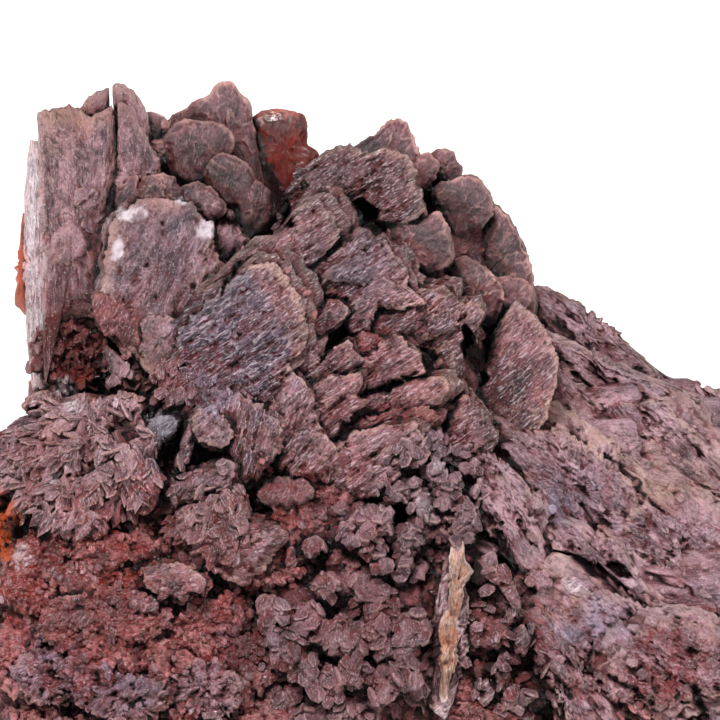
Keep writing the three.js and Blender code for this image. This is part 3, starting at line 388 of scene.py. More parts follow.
# Low lumps, red or grey: middle (across, up, out), half width, half height, turn, finish.
LUMPS = [
  [[8.5, 20.5, 14.6], 7.5, 4.6, 10, "red_grain"], [[20, 19, 13.8], 6.5, 4.6, -15, "red_grain"],
  [[13, 12.5, 15.8], 8.5, 4, 5, "red_grain"], [[25.5, 12, 14.2], 7, 4.6, 20, "red_grain"],
  [[4, 8, 13.8], 5, 5.5, 0, "red_grain"],
  [[14, 8.6, 15], 9, 3.4, -4, "red_grain"], [[22, 8.4, 14.4], 6, 3.4, 12, "red_grain"],
  [[6, 16.6, 14.4], 6, 3.4, 0, "red_grain"], [[18, 15.6, 14.6], 7, 3, -8, "red_grain"],
  [[15, 5, 15.8], 7.5, 4.6, -8, "red_grain"],
  [[26, 4.5, 15], 6.5, 5, 10, "red_grain"], [[33, 20, 13], 5, 4.6, 0, "red_grain"],
  [[31, 9, 14.6], 4.6, 5, 30, "red_grain"], [[20, -1.5, 13.4], 8, 4, 0, "red_grain"],
  [[36, -0.5, 14.2], 8, 4.2, 0, "red_grain"], [[8, 0.5, 13.2], 6.5, 4, 0, "red_grain"],
  [[60, 2, 12.6], 6.5, 5, -20, "red_grain"], [[61, 12, 11.2], 4.6, 5.5, 20, "red_grain"],
  [[9.5, 46, 1.4], 5, 6, 80, "red_grain"], [[36, 29, 10.2], 5, 4, 0, "red_grain"],
  [[41, 27.4, 10.4], 4.6, 4, 0, "red_grain"], [[37, 24, 12], 5, 3.6, 10, "red_grain"],
  [[31, 30, 9.6], 5, 3.4, 0, "red_grain"], [[17, 26.5, 12.6], 5, 3.6, 0, "red_grain"],
  [[8.6, 35.4, 10], 6, 4.2, 30, "blade"], [[5, 31, 11], 4.6, 4.6, 0, "blade"],
  [[12, 31.4, 13], 5.6, 4.4, -20, "blade"], [[15.5, 36, 9.6], 4, 4, 0, "blade"],
  [[0.2, 29, 8.5], 3.6, 7.6, 0, "red_grain"], [[54.4, 25, 11.6], 3, 2.6, 20, "druse"],
  [[10, 26.6, 14.4], 5.6, 3.2, 10, "blade"], [[20, 33, 9.8], 5, 4, -30, "blade"],
  [[26.5, 34, 9.4], 5, 3.4, 0, "blade"], [[6.4, 38.4, 8], 3.6, 2.2, -15, "blade"],
  [[6.6, 5.4, 15.6], 5, 3.4, -10, "druse"], [[16.2, 2.8, 17.2], 4.8, 3, 12, "druse"],
  [[26, 4, 16.2], 4.4, 3.8, -8, "druse"],
]

# Small lens crystals of the lower front: middle (across, up, out), half width, half height,
# turn in the plane of the face in degrees.
SMALL_LENSES = [
  # the scaly cluster at the lower left
  [[6.6, 39.4, 8], 2.8, 1.6, -20], [[4, 36, 9], 2.8, 1.4, 25], [[7.6, 37, 12], 2.8, 1.6, 50],
  [[11.5, 38.6, 11], 3, 1.5, -35], [[14.8, 39.4, 10], 2.6, 1.4, 20], [[4, 32.5, 12], 2.8, 1.5, -15],
  [[8.5, 33, 14], 3, 1.6, 35], [[12.8, 34.6, 14], 2.8, 1.5, -50], [[16, 31, 15.5], 1.7, 3, 12],
  [[18.3, 28.6, 15.5], 1.5, 3, -8], [[12.4, 29.4, 15], 2.6, 1.5, 40], [[8.2, 28.6, 14.5], 2.8, 1.5, 10],
  [[11.4, 24.4, 15.5], 2.4, 1.4, -40], [[4, 28.4, 12], 2.6, 1.4, 30],
  # the columns of lenses below the middle
  [[34, 13.5, 15.5], 1.9, 2.6, 18], [[38.4, 12.8, 16], 1.9, 2.4, -20], [[35.4, 9.3, 16.5], 1.9, 2.2, 30],
  [[38, 6.8, 16.5], 2.1, 1.8, -12], [[41, 4.6, 16.5], 2, 2.3, 24], [[42.8, 10, 16.5], 2.6, 3, 28],
  [[43.9, 5.8, 17], 2.6, 1.9, 12], [[48.9, 8.8, 16], 1.6, 1.6, 0], [[51.2, 11.2, 15.5], 2, 2.9, -24],
  [[50.8, 6.6, 16.5], 1.3, 2, 10], [[48, 4.6, 17], 2, 2.7, -18], [[40.6, 16.6, 15], 1.6, 1.9, 0],
  # the druse below the fan
  [[53.9, 31.4, 11], 1.5, 1.5, 0], [[55.6, 28.6, 11.5], 2, 2.4, 30], [[52.4, 27.4, 12.5], 1.5, 1.4, 0],
  [[39.4, 21.8, 14.5], 1.2, 1.2, 0], [[51, 22.4, 13], 1.9, 1.8, 20], [[50.4, 19.6, 13.5], 1.4, 1.5, 0],
  [[47.8, 19.4, 14.5], 1.5, 1.2, 0], [[60.5, 19, 12], 1.3, 2.4, -30], [[63.4, 14.6, 11.5], 1.6, 3, 34],
  # plates of the red mass
  [[35.8, 28.4, 12.5], 3.4, 1.9, 6], [[9, 12.6, 16], 4.4, 1.5, 4], [[2.6, 18.6, 12], 2.4, 2.8, 16],
]

# Each rounded mass of the matrix: middle (across, up, out), half sizes along the same three,
# turn in the plane of the face in degrees. The matrix is their common hull, roughened.
MATRIX_MASSES = [
  [[20, 38, -14], [17, 34, 15], 0],
  [[45, 33, -10], [26, 33, 18], 0],
  [[74, 25, -14], [34, 16, 15], -33],
  [[11, 31, 2], [10.5, 10, 10], 0],
  [[14, 12, 0], [18.5, 22, 15.5], 0],
  [[42, 8, 1], [32, 20, 14.5], 0],
  [[84, 7, -7], [23, 19, 14], 0],
  [[48, 12, -24], [43, 21, 20], 0],
  [[36, 42, -22], [26, 22, 17], 0],
  [[27.5, 63, -15], [13, 12.5, 10], 0],
  [[50, 56, -14], [14.5, 15.5, 12], 0],
  [[80, 36, -22], [20, 10.5, 11], -33],
  [[46, 0, -11], [38, 12, 14], 0],
]
MATRIX_MIDDLE = np.array([45, 26, -11])
MATRIX_ROUGHNESS = 1.1
MATRIX_WAVES = [[0.53, 0.31, 0.22, 0.4], [-0.27, 0.58, 0.35, 2.1], [0.33, -0.41, 0.62, 4.4]]
MATRIX_SUBDIVISIONS = 7
MATRIX_GRAIN = [[5.0, 0.9], [2.1, 0.55], [0.9, 0.28], [0.45, 0.13]]

# Lens crystals of the back: smallest and largest half width in mm, thickness and height as shares
# of it, how much they turn upwards, how deep they are sunk, how far round from the sides the first
# one stands, all as in the solid. Only here have they fine balls, plates, layers and swells, whose
# size and height are in mm, and only here are some moved, by their numbers, to close gaps.
BACK_LENS_COUNT = 20
BACK_LENS_HALF = [7.5, 11]
BACK_LENS_FLATNESS = 0.34
BACK_LENS_HEIGHT = 0.8
BACK_LENS_RISE = 0.9
BACK_LENS_SINK = 1
BACK_LENS_FIRST = 0.12
BACK_LENS_SHAPE = (60, 28)
BACK_LENS_PLATES = [3.2, 1.2, 0]
BACK_LENS_LAYER_SIZE = [6, 0.35, 6]
BACK_LENS_SWELL_SIZE = [2.4, 1.2, 2.4]
BACK_LENS_LAYER_HEIGHT = 0.35
BACK_LENS_SWELL_HEIGHT = 0.5
BACK_LENS_INSET = 0.5
BACK_LENS_MOVES = {1: [5, -1, 0], 3: [-4, -4, 0], 6: [0, -2, 0], 8: [-3, -5, 0]}
GOLDEN_RATIO = (math.sqrt(5) - 1) / 2
GOLDEN_ANGLE = math.pi * (3 - math.sqrt(5))

# How the crystals of a piece look: its name, their rows, direction of the grain in degrees, height
# of the shingled ledges, distance between them, depth of the striations, depth of the pits and how
# far the rim is frayed, all in mm, how round the outline is drawn, from 0 to 1, the length, width
# and rise of the intergrown plates that cover the faces, and the length, width and drop of the
# broken layers.
CrystalLook = namedtuple("CrystalLook", [
    "piece", "rows", "grain_degrees", "ledge", "ledge_gap", "stripe", "pit", "fray", "roundness",
    "plates", "layers",
])
CRYSTAL_LOOKS = [CrystalLook(*row) for row in (
    ("tablets", TABLETS, 88, 0.06, 1.5, 0.05, 0.13, 0.35, 0.0, [2.2, 1.0, 0.12], [6, 2.8, 0.2]),
    ("shield", SHIELD, 64, 0.14, 1.7, 0.1, 0.2, 0.4, 0.6, [2.6, 1.0, 0.26], [6, 3, 0.26]),
    ("crown", CROWN, 60, 0.04, 1.2, 0.04, 0.1, 0.3, 1.0, [2.0, 1.0, 0.07], [4, 2.6, 0.14]),
    ("rear_lenses", REAR_LENSES, 80, 0.03, 2.4, 0.03, 0.07, 0.14, 1.0, [3.2, 1.2, 0.05], [6, 4, 0.12]),
    ("fan", FAN, 34, 0.2, 1.5, 0.18, 0.13, 0.5, 0.5, [3.0, 0.7, 0.22], [5, 2.6, 0.34]),
    ("petals", PETALS, 48, 0.03, 1.6, 0.03, 0.07, 0.3, 0.8, [3.0, 0.8, 0.05], [6, 3.4, 0.12]),
    ("slope", SLOPE, -42, 0.1, 2.3, 0.03, 0.24, 0.6, 0.5, [1.6, 1.1, 0.3], [4.2, 2.0, 0.5]),
    ("front_crystals", FRONT, 40, 0.16, 1.2, 0.1, 0.2, 0.45, 0.8, [2.0, 0.9, 0.26], [3.6, 2, 0.3]),
    ("fine_crystals", FINE, 40, 0.16, 1.2, 0.1, 0.2, 0.4, 0.8, [2.0, 0.9, 0.24], [3.6, 2, 0.3]),
)]
SMALL_LENS_LOOK = CrystalLook(
    "small_lenses", SMALL_LENSES, 60, 0.06, 1.2, 0.06, 0.14, 0.45, 1.0, [1.5, 0.8, 0.18], [3, 2, 0.2],
)
LUMP_LOOKS = {finish: CrystalLook(piece, LUMPS, *look) for finish, piece, *look in (
    ("red_grain", "red_lumps", 12, 0.1, 2.1, 0.05, 0.26, 0.9, 1.0, [0.95, 0.75, 0.34], [3, 2.6, 0.3]),
    ("blade", "grey_lumps", -118, 0.2, 1.5, 0.08, 0.2, 1.1, 1.0, [2.2, 1.1, 0.4], [3, 1.8, 0.5]),
    ("druse", "druse_lumps", 30, 0.3, 1.5, 0.06, 0.3, 1.0, 1.0, [1.1, 0.9, 0.6], [3, 2, 0.3]),
)}
LUMP_THICK = 2.6

# Small lenses are druse to the right of and below the first two, and red below the third, in mm.
DRUSE_ACROSS = 30
DRUSE_TOP = 32
RED_TOP = 25

# Intergrown plates: how far their places are bent, by how many waves to a plate, the size and
# height of the finer plates that stand on them, and what each of the two gives to the tints.
PLATE_BEND = 0.22
PLATE_BEND_WAVES = 1.7
FINER_PLATES = 0.37
FINER_RISE = 0.42
COARSE_TINT = 0.55
FINE_TINT = 0.45
FINE_BORDER = 0.55

# One cell of plates: how far the plate's middle strays from the cell's, what its own height, its
# lean and its fall towards the border weigh, the mean height to take away, and how wide a border is.
PLATE_STRAY = 0.4
PLATE_OWN_HEIGHT = 0.5
PLATE_LEAN = 0.7
PLATE_FALL = 1.3
PLATE_MEAN = 0.3
PLATE_BORDER = 0.13

# Broken layers: how many levels the noise steps through, and, as shares of one level, where the
# rise ends, where the pale edge, a painted highlight, begins, is full and ends, and where the dark
# foot, painted shade, ends and begins again.
LAYER_LEVELS = 2.2
LAYER_RISE = 0.13
LAYER_EDGE = [0.08, 0.14, 0.34]
LAYER_FOOT = [0.1, 0.95]

# Layers along the rim: share of the way from the middle to the rim where each steps down, and how
# far, in mm. Their borders waver in waves: size in mm, share, and what is added to the seed.
RIM_LAYERS = [[0.76, 0.3], [0.87, 0.3]]
RIM_LAYER_WAVES = [[1.4, 0.07, 71], [0.5, 0.035, 72]]

# Shingled ledges: how far, in ledges, they wander, what share of one its step takes up, and how
# much of its height is left where it is worn away.
LEDGE_WANDER = 1.3
LEDGE_STEP = 0.16
LEDGE_LEAST = 0.35

# Swells, hollows and chips of a face, as multiples of the depth of its pits.
SWELL_HEIGHT = 1.4
HOLLOW_DEPTH = 1.5
CHIP_HEIGHT = 0.5

# Features of a cleaved face, in mm: length along the grain, width across it and depth.
WANDER_SIZE = [5, 3.2, 4]
BROKEN_SIZE = [2.6, 1, 9]
STRIATION_SIZE = [4.5, 0.42, 3]
SWELL_SIZE = [7, 3.4, 5]
HOLLOW_SIZE = [1.1, 0.7, 1.5]
CHIP_SIZE = [0.5, 0.36, 0.6]

# How strongly the colours vary: painted light towards the free edge and painted shade away from
# it, hue and shade from place to place, and dark flecks in the red stains.
PAINTED_LIGHT = 0.3
PAINTED_LIGHT_TOWARDS = [0.6, 0.7]
HUE_DRIFT = 0.35
SHADE_DRIFT = 0.34
RED_DARKS = 1.5
MATRIX_SLOPE_LIFT = 1.2

# Where the random numbers of each step start. Each pattern of noise adds a number of its own to
# the seed that it is given, so that no two patterns are alike.
CRYSTALS_SEED = 100
SCATTER_SEED = 700
HIDDEN_SIDE_SEED = 900

# Crystals that overlap like tiles: how much more their faces rise along across and up, how much
# the outline grows away from the free edge, which is up and to the right, and how strongly the rim
# is painted lighter than the middle, as painted light on the rim and painted shade in the middle.
SHINGLED = {
    "shield": [[0.02, 0.06], 1.0, 0.3],
    "crown": [[0.16, 0.18], 1.16, 0.8],
    "rear_lenses": [[0.1, 0.18], 1.14, 0.9],
    "fan": [[0.27, 0.15], 1.24, 0.85],
    "petals": [[0.3, 0.16], 1.16, 0.9],
    "slope": [[0, 0], 1.12, 0.2],
}
NOT_SHINGLED = [[0, 0], 1, 0]
THINNEST_GROWN = 5

# The pale rim, a painted highlight on the thin edge: where it starts on shingled and on other
# crystals, how wide its start is, how much of it is left on the side away from the free edge, and
# the direction of that edge.
SHINGLED_RIM_START = 0.86
RIM_START = 0.8
RIM_START_WIDTH = 0.12
RIM_LEAST = 0.2
FREE_SIDE = [0.76, 0.65]

# The matrix: size and rise of its intergrown plates, its grain on the slope to the right of
# SLOPE_ACROSS, which is drawn out along a direction in degrees, the share of its reach in front of
# which its faces are divided again, and the place to the right of which and above which it is rosy.
MATRIX_PLATES = [[1.5, 0.9], [0.55, 0.34]]
MATRIX_SINK = 0.9
MATRIX_BLADE_SPREAD = 2.6
SLOPE_ACROSS = 55
SLOPE_GRAIN = -36
MATRIX_FINE_FRONT = 0.15
ROSY_ACROSS = 60
ROSY_UP = 14

# Lower layers of the same crystals, seen in the gaps: group, growth of the outline, how much
# further back the face lies, in mm.
UNDER_LAYERS = [
    ("shield", 1.08, 1.6),
    ("fan", 1.16, 1.5),
    ("fan", 1.34, 3.4),
    ("petals", 1.04, 3.0),
    ("slope", 1.2, 0.9),
    ("slope", 1.42, 1.6),
    ("front_crystals", 1.15, 1.6),
]
NOT_GROWN = ["ridge_band", "ridge_tail"]
NO_UNDER_LAYER = [
    "crest", "outer_blade_top", "outer_blade", "petal_crest", "honey_blade", "honey_blade_low",
    "honey_hem", "thorn_blade", "petal_notch", "petal_amber", *NOT_GROWN,
]
FREE_EDGE = [0.7, 0.7]
OWN_FREE_EDGE = {"crest": [0, 1]}
LOWER = "_lower"
# How much darker the lower layers are painted, as shade in the gaps.
LOWER_SHADE = -0.85

# Crystals that differ from their group: finish, and below it direction of the grain in degrees.
OWN_FINISH = {
    "side_layer_front": "pale_edge",
    "side_layer_back": "pale_edge",
    "red_backing": "red_crystal",
    "red_lens": "red_crystal",
    "honey_blade": "honey",
    "honey_blade_low": "honey",
    "honey_hem": "pale_edge",
    "outer_blade": "fan",
    "red_flap": "red_blade",
    "red_band": "red_blade",
    "rosette_body": "blade",
    "scallop_plate": "blade",
    "glint_blade": "pale_edge",
    "keel_blade": "rose_blade",
    "slab_low": "rose_blade",
    "slab_front": "rose_blade",
    "long_knob": "druse",
    "big_lens": "druse",
    "column_knob": "druse",
    "grey_lump": "druse",
    "grey_blade": "clear",
    "dark_cheek": "lens",
    "strip_red_knot": "red_blade",
}
GROUP_FINISH = {
    "tablets": "grainy",
    "shield": "grainy",
    "crown": "lens",
    "rear_lenses": "lens",
    "fan": "fan",
    "petals": "lens",
    "slope": "rose_blade",
    "front_crystals": "blade",
    "fine_crystals": "blade",
}
OWN_GRAIN = {
    "outer_blade": 42,
    "step_pink": -60,
    "keel_blade": -56,
    "honey_blade": 80,
    "honey_blade_low": 84,
    "left_toe": 74,
    "front_strip": 48,
    "rosette_body": 12,
    "scallop_plate": 12,
}

# Distance between the points of the large crystals, in mm, how many times wider it is in some
# pieces and in the lower layers, how few and how many points go around one crystal, and how many
# points fill a piece.
POINT_SPACING = 0.24
COARSER = {"tablets": 1.35, "red_lumps": 1.5, "grey_lumps": 1.1, "small_lenses": 1.5, "fine_crystals": 1.2}
COARSER_LOWER = {"fan": 2.8, "slope": 2.8}
LOWER_SPACING = 1.6
POINTS_AROUND = [24, 260]
PIECE_POINTS = 74000

# Rings of a crystal's section: how far round the rim each one lies, as shares of a quarter turn,
# how deep a side can be for rings of its own, in mm, and where the rings of the root lie.
RIM_TURNS = [0.35, 0.7, 1.0]
DEEPEST_LAYERED = 5
ROOT_SHARES = [0.66, 0.33, 0.0]

# The ragged rim: size and height of each set of teeth, their limit as a share of the reach, and
# how high the ridge of a tooth stands and how far it falls.
EDGE_RAGGED = [[1.6, 1.0], [0.6, 0.6], [0.3, 0.3]]
EDGE_RAGGED_LIMIT = 0.13
TOOTH_RIDGE = 0.6
TOOTH_FALL = 1.6

# The layers that show at a crystal's sides, in mm: thickness, length and relief.
SIDE_LAYER = 0.4
SIDE_LAYER_LENGTH = 2.4
SIDE_LAYER_RELIEF = 0.28

# Small crystals scattered over a region: name of the piece, finish, whether they grow on all the
# surfaces there or on the bed between the crystals, middle (across, up), half sizes of the region,
# count, smallest and largest half length, length over width, flatness, how far they stand off the
# surface (0 flat on it, 1 on edge, below 0 with a raised tip, like tiles), and the main direction
# in degrees, or the place (across, up) that they fan out from.
Scatter = namedtuple("Scatter", [
    "piece", "finish", "where", "middle", "half", "count", "lengths", "slimness", "flatness",
    "standing", "heading",
])
SCATTERS = [Scatter(*row) for row in (
    ("scales_left", "blade", "all", [10, 32], [10, 8], 1000, [0.8, 2.0], 1.5, 0.2, -0.42, [14, 44]),
    ("scales_fine", "pale_edge", "all", [9.5, 33], [10, 8], 110, [0.3, 0.8], 1.6, 0.24, -0.5, [14, 44]),
    ("scales_shelf", "blade", "all", [20, 42], [7, 3], 80, [0.5, 1.4], 1.4, 0.2, -0.4, -100),
    ("scales_rosette", "blade", "all", [26, 24], [5, 5.4], 230, [0.6, 1.5], 1.15, 0.22, -0.4, [27, 30]),
    ("scales_ledge", "blade", "all", [24, 29.5], [7, 3], 70, [0.5, 1.4], 1.4, 0.22, -0.4, -95),
    ("druse_middle", "druse", "all", [54, 28], [7, 8], 420, [0.4, 1.2], 1.2, 0.36, -0.45, -80),
    ("druse_column", "druse", "all", [43, 8], [11, 10], 520, [0.6, 1.7], 1.15, 0.26, -0.5, -95),
    ("druse_under_fan", "druse", "all", [45, 21], [9, 6], 380, [0.4, 1.2], 1.2, 0.36, -0.45, -90),
    ("grains_left", "red_grain", "bed", [13, 12], [22, 17], 2600, [0.2, 0.55], 1.3, 0.36, -0.2, -80),
    ("grains_left_grey", "druse", "all", [13, 8], [22, 13], 700, [0.22, 0.7], 1.3, 0.3, -0.3, -80),
    ("grains_middle", "red_grain", "bed", [33, 22], [12, 18], 1500, [0.2, 0.6], 1.3, 0.36, -0.2, -80),
    ("grains_base", "red_grain", "bed", [40, -2], [46, 8], 900, [0.3, 0.8], 1.3, 0.36, -0.2, -80),
    ("grains_hole", "red_grain", "bed", [10, 45], [7, 6], 220, [0.3, 0.9], 1.5, 0.35, 0.5, 60),
    ("grains_gaps", "red_grain", "bed", [40, 50], [30, 22], 200, [0.3, 0.7], 1.4, 0.4, 0.4, 30),
    ("chips_slope", "rose_blade", "all", [83, 22], [20, 20], 260, [0.2, 0.7], 0.9, 0.2, -0.3, -128),
    ("chips_lower_right", "rose_blade", "all", [76, 3], [18, 9], 160, [0.2, 0.7], 0.9, 0.2, -0.3, -128),
    ("plates_hollow", "blade", "all", [63.5, 10], [6, 9], 60, [0.6, 1.6], 1.2, 0.16, -0.7, -70),
    ("chips_hollow", "red_grain", "bed", [62, 9], [7, 10], 260, [0.2, 0.6], 1.3, 0.3, -0.2, -55),
)]

# Balls that the small crystals are pressed from: corners around and layers, and the half length
# below which the smallest is enough. How ragged an outline is: least reach and how much it varies,
# how much the thickness varies, and how much a leaf is drawn out to a point.
SMALL_SHAPE = (7, 4)
SMALLEST_SHAPE = (6, 3)
SMALLEST_LENGTH = 0.9
SMALL_LEAST_REACH = 0.62
SMALL_REACH_VARIES = 0.55
SMALL_THICKNESS_VARIES = 0.5
LEAF_POINT = 0.26

# How small crystals stand: power that makes short ones common, spread of the heading of tiles and
# of others in degrees, and how much their lie, their stand and a tile's stand vary.
SCATTER_LENGTH_POWER = 1.8
TILE_HEADING_SPREAD = 14
HEADING_SPREAD = 28
LIE_VARIES = 0.25
STAND_VARIES = 0.25
TILE_STAND_VARIES = 0.12

# Chips of the hidden sides: how many directions are tried, how far towards the viewer and how far
# off, and from what distance in metres, smallest and largest half length, the power that makes
# short ones common, width and thickness as shares of the length, how much they keep to the surface,
# vary and stand off it, how far out from the growth face, which is behind it below 0, and how near
# the resting cut they may grow.
HIDDEN_SIDE_CHIPS = 1700
HIDDEN_SIDE_FOREMOST = 0.45
HIDDEN_SIDE_STRAY = 0.03
HIDDEN_SIDE_DISTANCE = 0.2
HIDDEN_SIDE_LENGTHS = [0.7, 2.4]
HIDDEN_SIDE_LENGTH_POWER = 2.2
HIDDEN_SIDE_SHARES = [1, 0.62, 0.24]
HIDDEN_SIDE_KEEPS = 0.9
HIDDEN_SIDE_VARIES = 0.5
HIDDEN_SIDE_LIFT = 0.12
CHIPS_BEHIND = -7
CHIPS_ABOVE_CUT = 4

# Stains, each a soft oval on the face: middle (across, up), half sizes, strength.
RED_STAINS = [
    [[9.5, 46], [6, 6], 1.0],
    [[14.5, 50.5], [3.5, 3], 0.7],
    [[16, 13], [24, 17], 0.9],
    [[43, 8], [12, 10], 0.6],
    [[12, 12.5], [6, 4], 0.9],
    [[17, 7.5], [5, 3.5], 0.8],
    [[5, 30], [3.5, 5], 0.5],
    [[15, 24], [6, 3], 0.6],
    [[4, 17], [4, 4], 0.8],
    [[23, 10], [4, 4], 0.7],
    [[28, 17], [4, 3], 0.9],
    [[31, 10], [2.5, 5], 1.0],
    [[28, 5], [2.5, 3.5], 0.7],
    [[37, 27], [7, 6], 1.0],
    [[40, 22], [8, 5], 0.6],
    [[36.4, 72], [4, 3], 0.9],
    [[40, 53], [3, 1.8], 0.8],
    [[49, 38.2], [7, 1.6], 0.8],
    [[47.5, 46], [4, 3], 0.5],
    [[80, 8], [11, 9], 0.5],
    [[63, 10], [6, 9], 0.8],
    [[55.5, 70], [3, 2.6], 0.35],
    [[1, 23], [3, 5], 1.0],
    [[2, 5], [5, 8], 0.6],
    [[24, 43], [6, 3], 0.5],
    [[58, 35], [3, 3], 0.5],
    [[71, 24], [6, 3], 0.3],
]
PALE_PATCHES = [
    [[16.6, 63.3], [1.8, 0.9], 1.0],
    [[14.8, 58.3], [1.0, 1.7], 0.9],
    [[25.7, 61.4], [1.1, 1.2], 0.9],
    [[22.8, 65], [0.7, 0.6], 0.8],
    [[8.1, 41.4], [1.3, 1.3], 1.0],
    [[9.4, 39.2], [1.1, 0.9], 0.9],
    [[19.6, 37.9], [1.4, 0.9], 0.8],
    [[6.8, 30.2], [0.9, 0.8], 0.5],
    [[3, 20.4], [1.2, 1.6], 0.7],
    [[71.5, 16.5], [1.8, 1.2], 0.5],
    [[53, 26.8], [1.2, 1.2], 0.5],
    [[56, 32], [2.2, 1.0], 0.35],
    [[4.4, 60], [1.4, 12], 0.3],
]

# Places that are lighter (above 0) or darker (below 0) than the rest, partly in tone and partly
# as painted shade in gaps, recesses and under overhangs, and tanner (above 0) or greyer (below 0).
SHADE_PATCHES = [
    [[28, 71], [8, 7], -0.5],
    [[23.5, 69.5], [4, 3], -0.5],
    [[34, 71], [2, 6], -0.6],
    [[34.5, 67.5], [3, 4.5], -0.9],
    [[36.5, 71], [4, 4], -0.8],
    [[19.5, 56], [7, 9], -0.15],
    [[26, 65], [5, 4], -0.2],
    [[48.5, 62], [3, 2], -0.6],
    [[61, 40.5], [2.6, 4], -0.7],
    [[83, 44], [14, 3], -0.3],
    [[27, 44], [6, 7], 0.3],
    [[10, 34], [12, 9], 0.2],
    [[80, 30], [18, 14], 0.15],
    [[78, 8], [14, 10], 0.2],
    [[53, 27], [6, 7], -0.1],
    [[13, 23], [8, 4], 0.2],
    [[10, 13.5], [7, 3], -0.35],
    [[6, 5.5], [5, 3.5], 0.35],
    [[16, 3], [5, 3], 0.2],
    [[26, 4], [5, 4], 0.3],
    [[24, 14], [5, 4], 0.15],
    [[31, 11], [2.5, 6], -0.4],
    [[36, 27], [6, 5], -0.3],
    [[9.5, 46], [5, 6], -0.8],
    [[58.5, 59.5], [2.6, 3.2], -0.8],
    [[56.5, 53.5], [1.6, 2], -0.5],
    [[54, 66], [2.4, 2], -0.6],
    [[45, 8], [12, 9], -0.2],
    [[42, 66], [9, 7], -0.6],
    [[57, 62], [7, 9], -0.36],
    [[43, 57], [8, 5], -0.15],
    [[62.6, 42], [4, 7], -0.3],
    [[3, 12], [3.5, 6], 0.2],
    [[63, 9], [6, 9], -0.25],
]
WARMTH_PATCHES = [
    [[6.5, 75], [5, 5], 0.5],
    [[9, 60], [5, 5], 0.3],
    [[19, 45], [3, 5], 0.6],
    [[20.6, 60], [5, 5], -0.4],
    [[29, 46], [7, 8], -1.0],
    [[45, 57], [8, 5], -0.4],
    [[70, 36.5], [5, 4], 0.6],
    [[81, 31], [9, 5], 0.6],
    [[73, 28.7], [6, 5], -0.6],
    [[76, 13], [6, 4], -0.4],
    [[20.6, 36.5], [4, 3], -0.3],
    [[8, 5.6], [5.5, 4], -0.9],
    [[16, 3.6], [5, 3.5], -0.8],
    [[34, 14], [6, 7], -0.3],
    [[13, 22], [8, 4], -0.35],
    [[25, 13], [5, 3], -0.3],
    [[26, 4], [5, 4], -0.4],
    [[1.5, 23], [3, 4], 0.8],
    [[9, 34], [10, 8], 0.15],
    [[26, 24], [6, 6], 0.2],
    [[60, 46], [12, 8], 0.3],
]

# Orange light that shows through a thin edge: middle (across, up), half sizes, strength.
GLOWS = [
    [[0.4, 24], [1.7, 4.4], 1.1],
    [[10.8, 42], [1.6, 0.9], 0.6],
    [[1.6, 56], [1.6, 6], 0.3],
]

# Cracks and hollows, sunk into the faces and also painted darker as shade: from one place (across,
# up) to another, half width, depth.
CRACKS = [
    [72, 43.5, 75.8, 38.8, 0.5, 0.7],
    [75.8, 33.2, 81, 28, 0.5, 0.7],
    [81, 28, 82.6, 25.8, 0.45, 0.6],
    [61.2, 35, 66.8, 28.6, 0.5, 0.7],
    [86.2, 34.8, 88.4, 32.8, 0.45, 0.6],
    [74.4, 6.4, 81.8, 2, 0.6, 0.8],
    [70.5, 21.4, 76, 17.2, 0.4, 0.5],
    [84.5, 17.6, 88.6, 14.2, 0.5, 0.6],
    [44.6, 64.4, 47.2, 61.6, 1.7, 4.5],
    [34.2, 67, 36.2, 62, 1.2, 3],
    [31, 58, 27.6, 53.6, 0.6, 1.5],
    [53.2, 46.2, 53.8, 44, 0.9, 3],
    [58.2, 48.6, 60.4, 42.4, 1.3, 4],
    [76.2, 19.4, 78.6, 18.2, 1.0, 1.6],
    [82.4, 17.8, 84, 15.6, 0.9, 1.4],
    [87, 4, 88, 1, 0.9, 1.4],
]

# Humps of the matrix to lower: middle (across, up), half sizes, share.
MATRIX_HUMPS = [
    [[61.4, 67.4], [3.6, 3.4], 0.7],
    [[76, 51], [6, 5], 0.8],
    [[80.5, 49.5], [6, 5], 1],
    [[85, 46], [6, 4.6], 0.8],
    [[90, 43.5], [6, 4], 0.6],
]
MATRIX_HUMP_DROP = 4

# How much sky each point sees: number of directions, the lowest that counts, size of the cells that
# hide what is behind them, how far behind still counts as seen, in mm, and the weight of a
# direction that only grazes the surface.
OPEN_DIRECTIONS = 48
OPEN_LOWEST = -0.35
OPEN_CELL = 0.9
OPEN_BIAS = 0.9
OPEN_GRAZING = 0.04

# What a point's own openness and that of its crystal's most open point weigh in a small crystal.
OPEN_OWN = 0.2
OPEN_HIGHEST = 0.68

# The stage: distances in metres, the middle and the width of the view in mm on the growth face.
CAMERA_DISTANCE = 3.0
CAMERA_SENSOR = 36
CAMERA_FAR = 50
VIEW_WIDTH = 90
VIEW_MIDDLE = [45, 45, 8]
FLOOR_HALF = 6.0
FLOOR_DROP = 0.0001
FLOOR_ROUGHNESS = 0.9
FLOOR_MOTTLE_SCALE = 3
FLOOR_MOTTLE_DARKEST = 0.985

# The two suns: where their light comes from and how many degrees wide they look, and the fill's
# strength as a share of the key's.
KEY_TOWARDS = (-0.35, -0.95, 1.35)
KEY_SPREAD = 14
FILL_TOWARDS = (1.1, -0.9, 0.7)
FILL_SPREAD = 40
FILL_SHARE = 0.2

# The flat resting cut and how the underside widens above it, as in the solid.
FOOT_OUTLINE = np.array([[-38, -20], [36, -18], [27, 15], [-30, 15]], float)
FOOT_SPREAD = 0.23
CUT_INSET = 0.06


# --- numbers over the surface ---------------------------------------------------------------


def growth_to_world(points):
    """Points on the growth face, in millimetres, as points of the frame, in metres."""
    return (np.asarray(points, float) @ GROWTH_AXES - ORIGIN) * MM


def world_to_growth(points):
    """Points of the frame, in metres, as points on the growth face, in millimetres."""
    return (np.asarray(points, float) / MM + ORIGIN) @ GROWTH_AXES.T


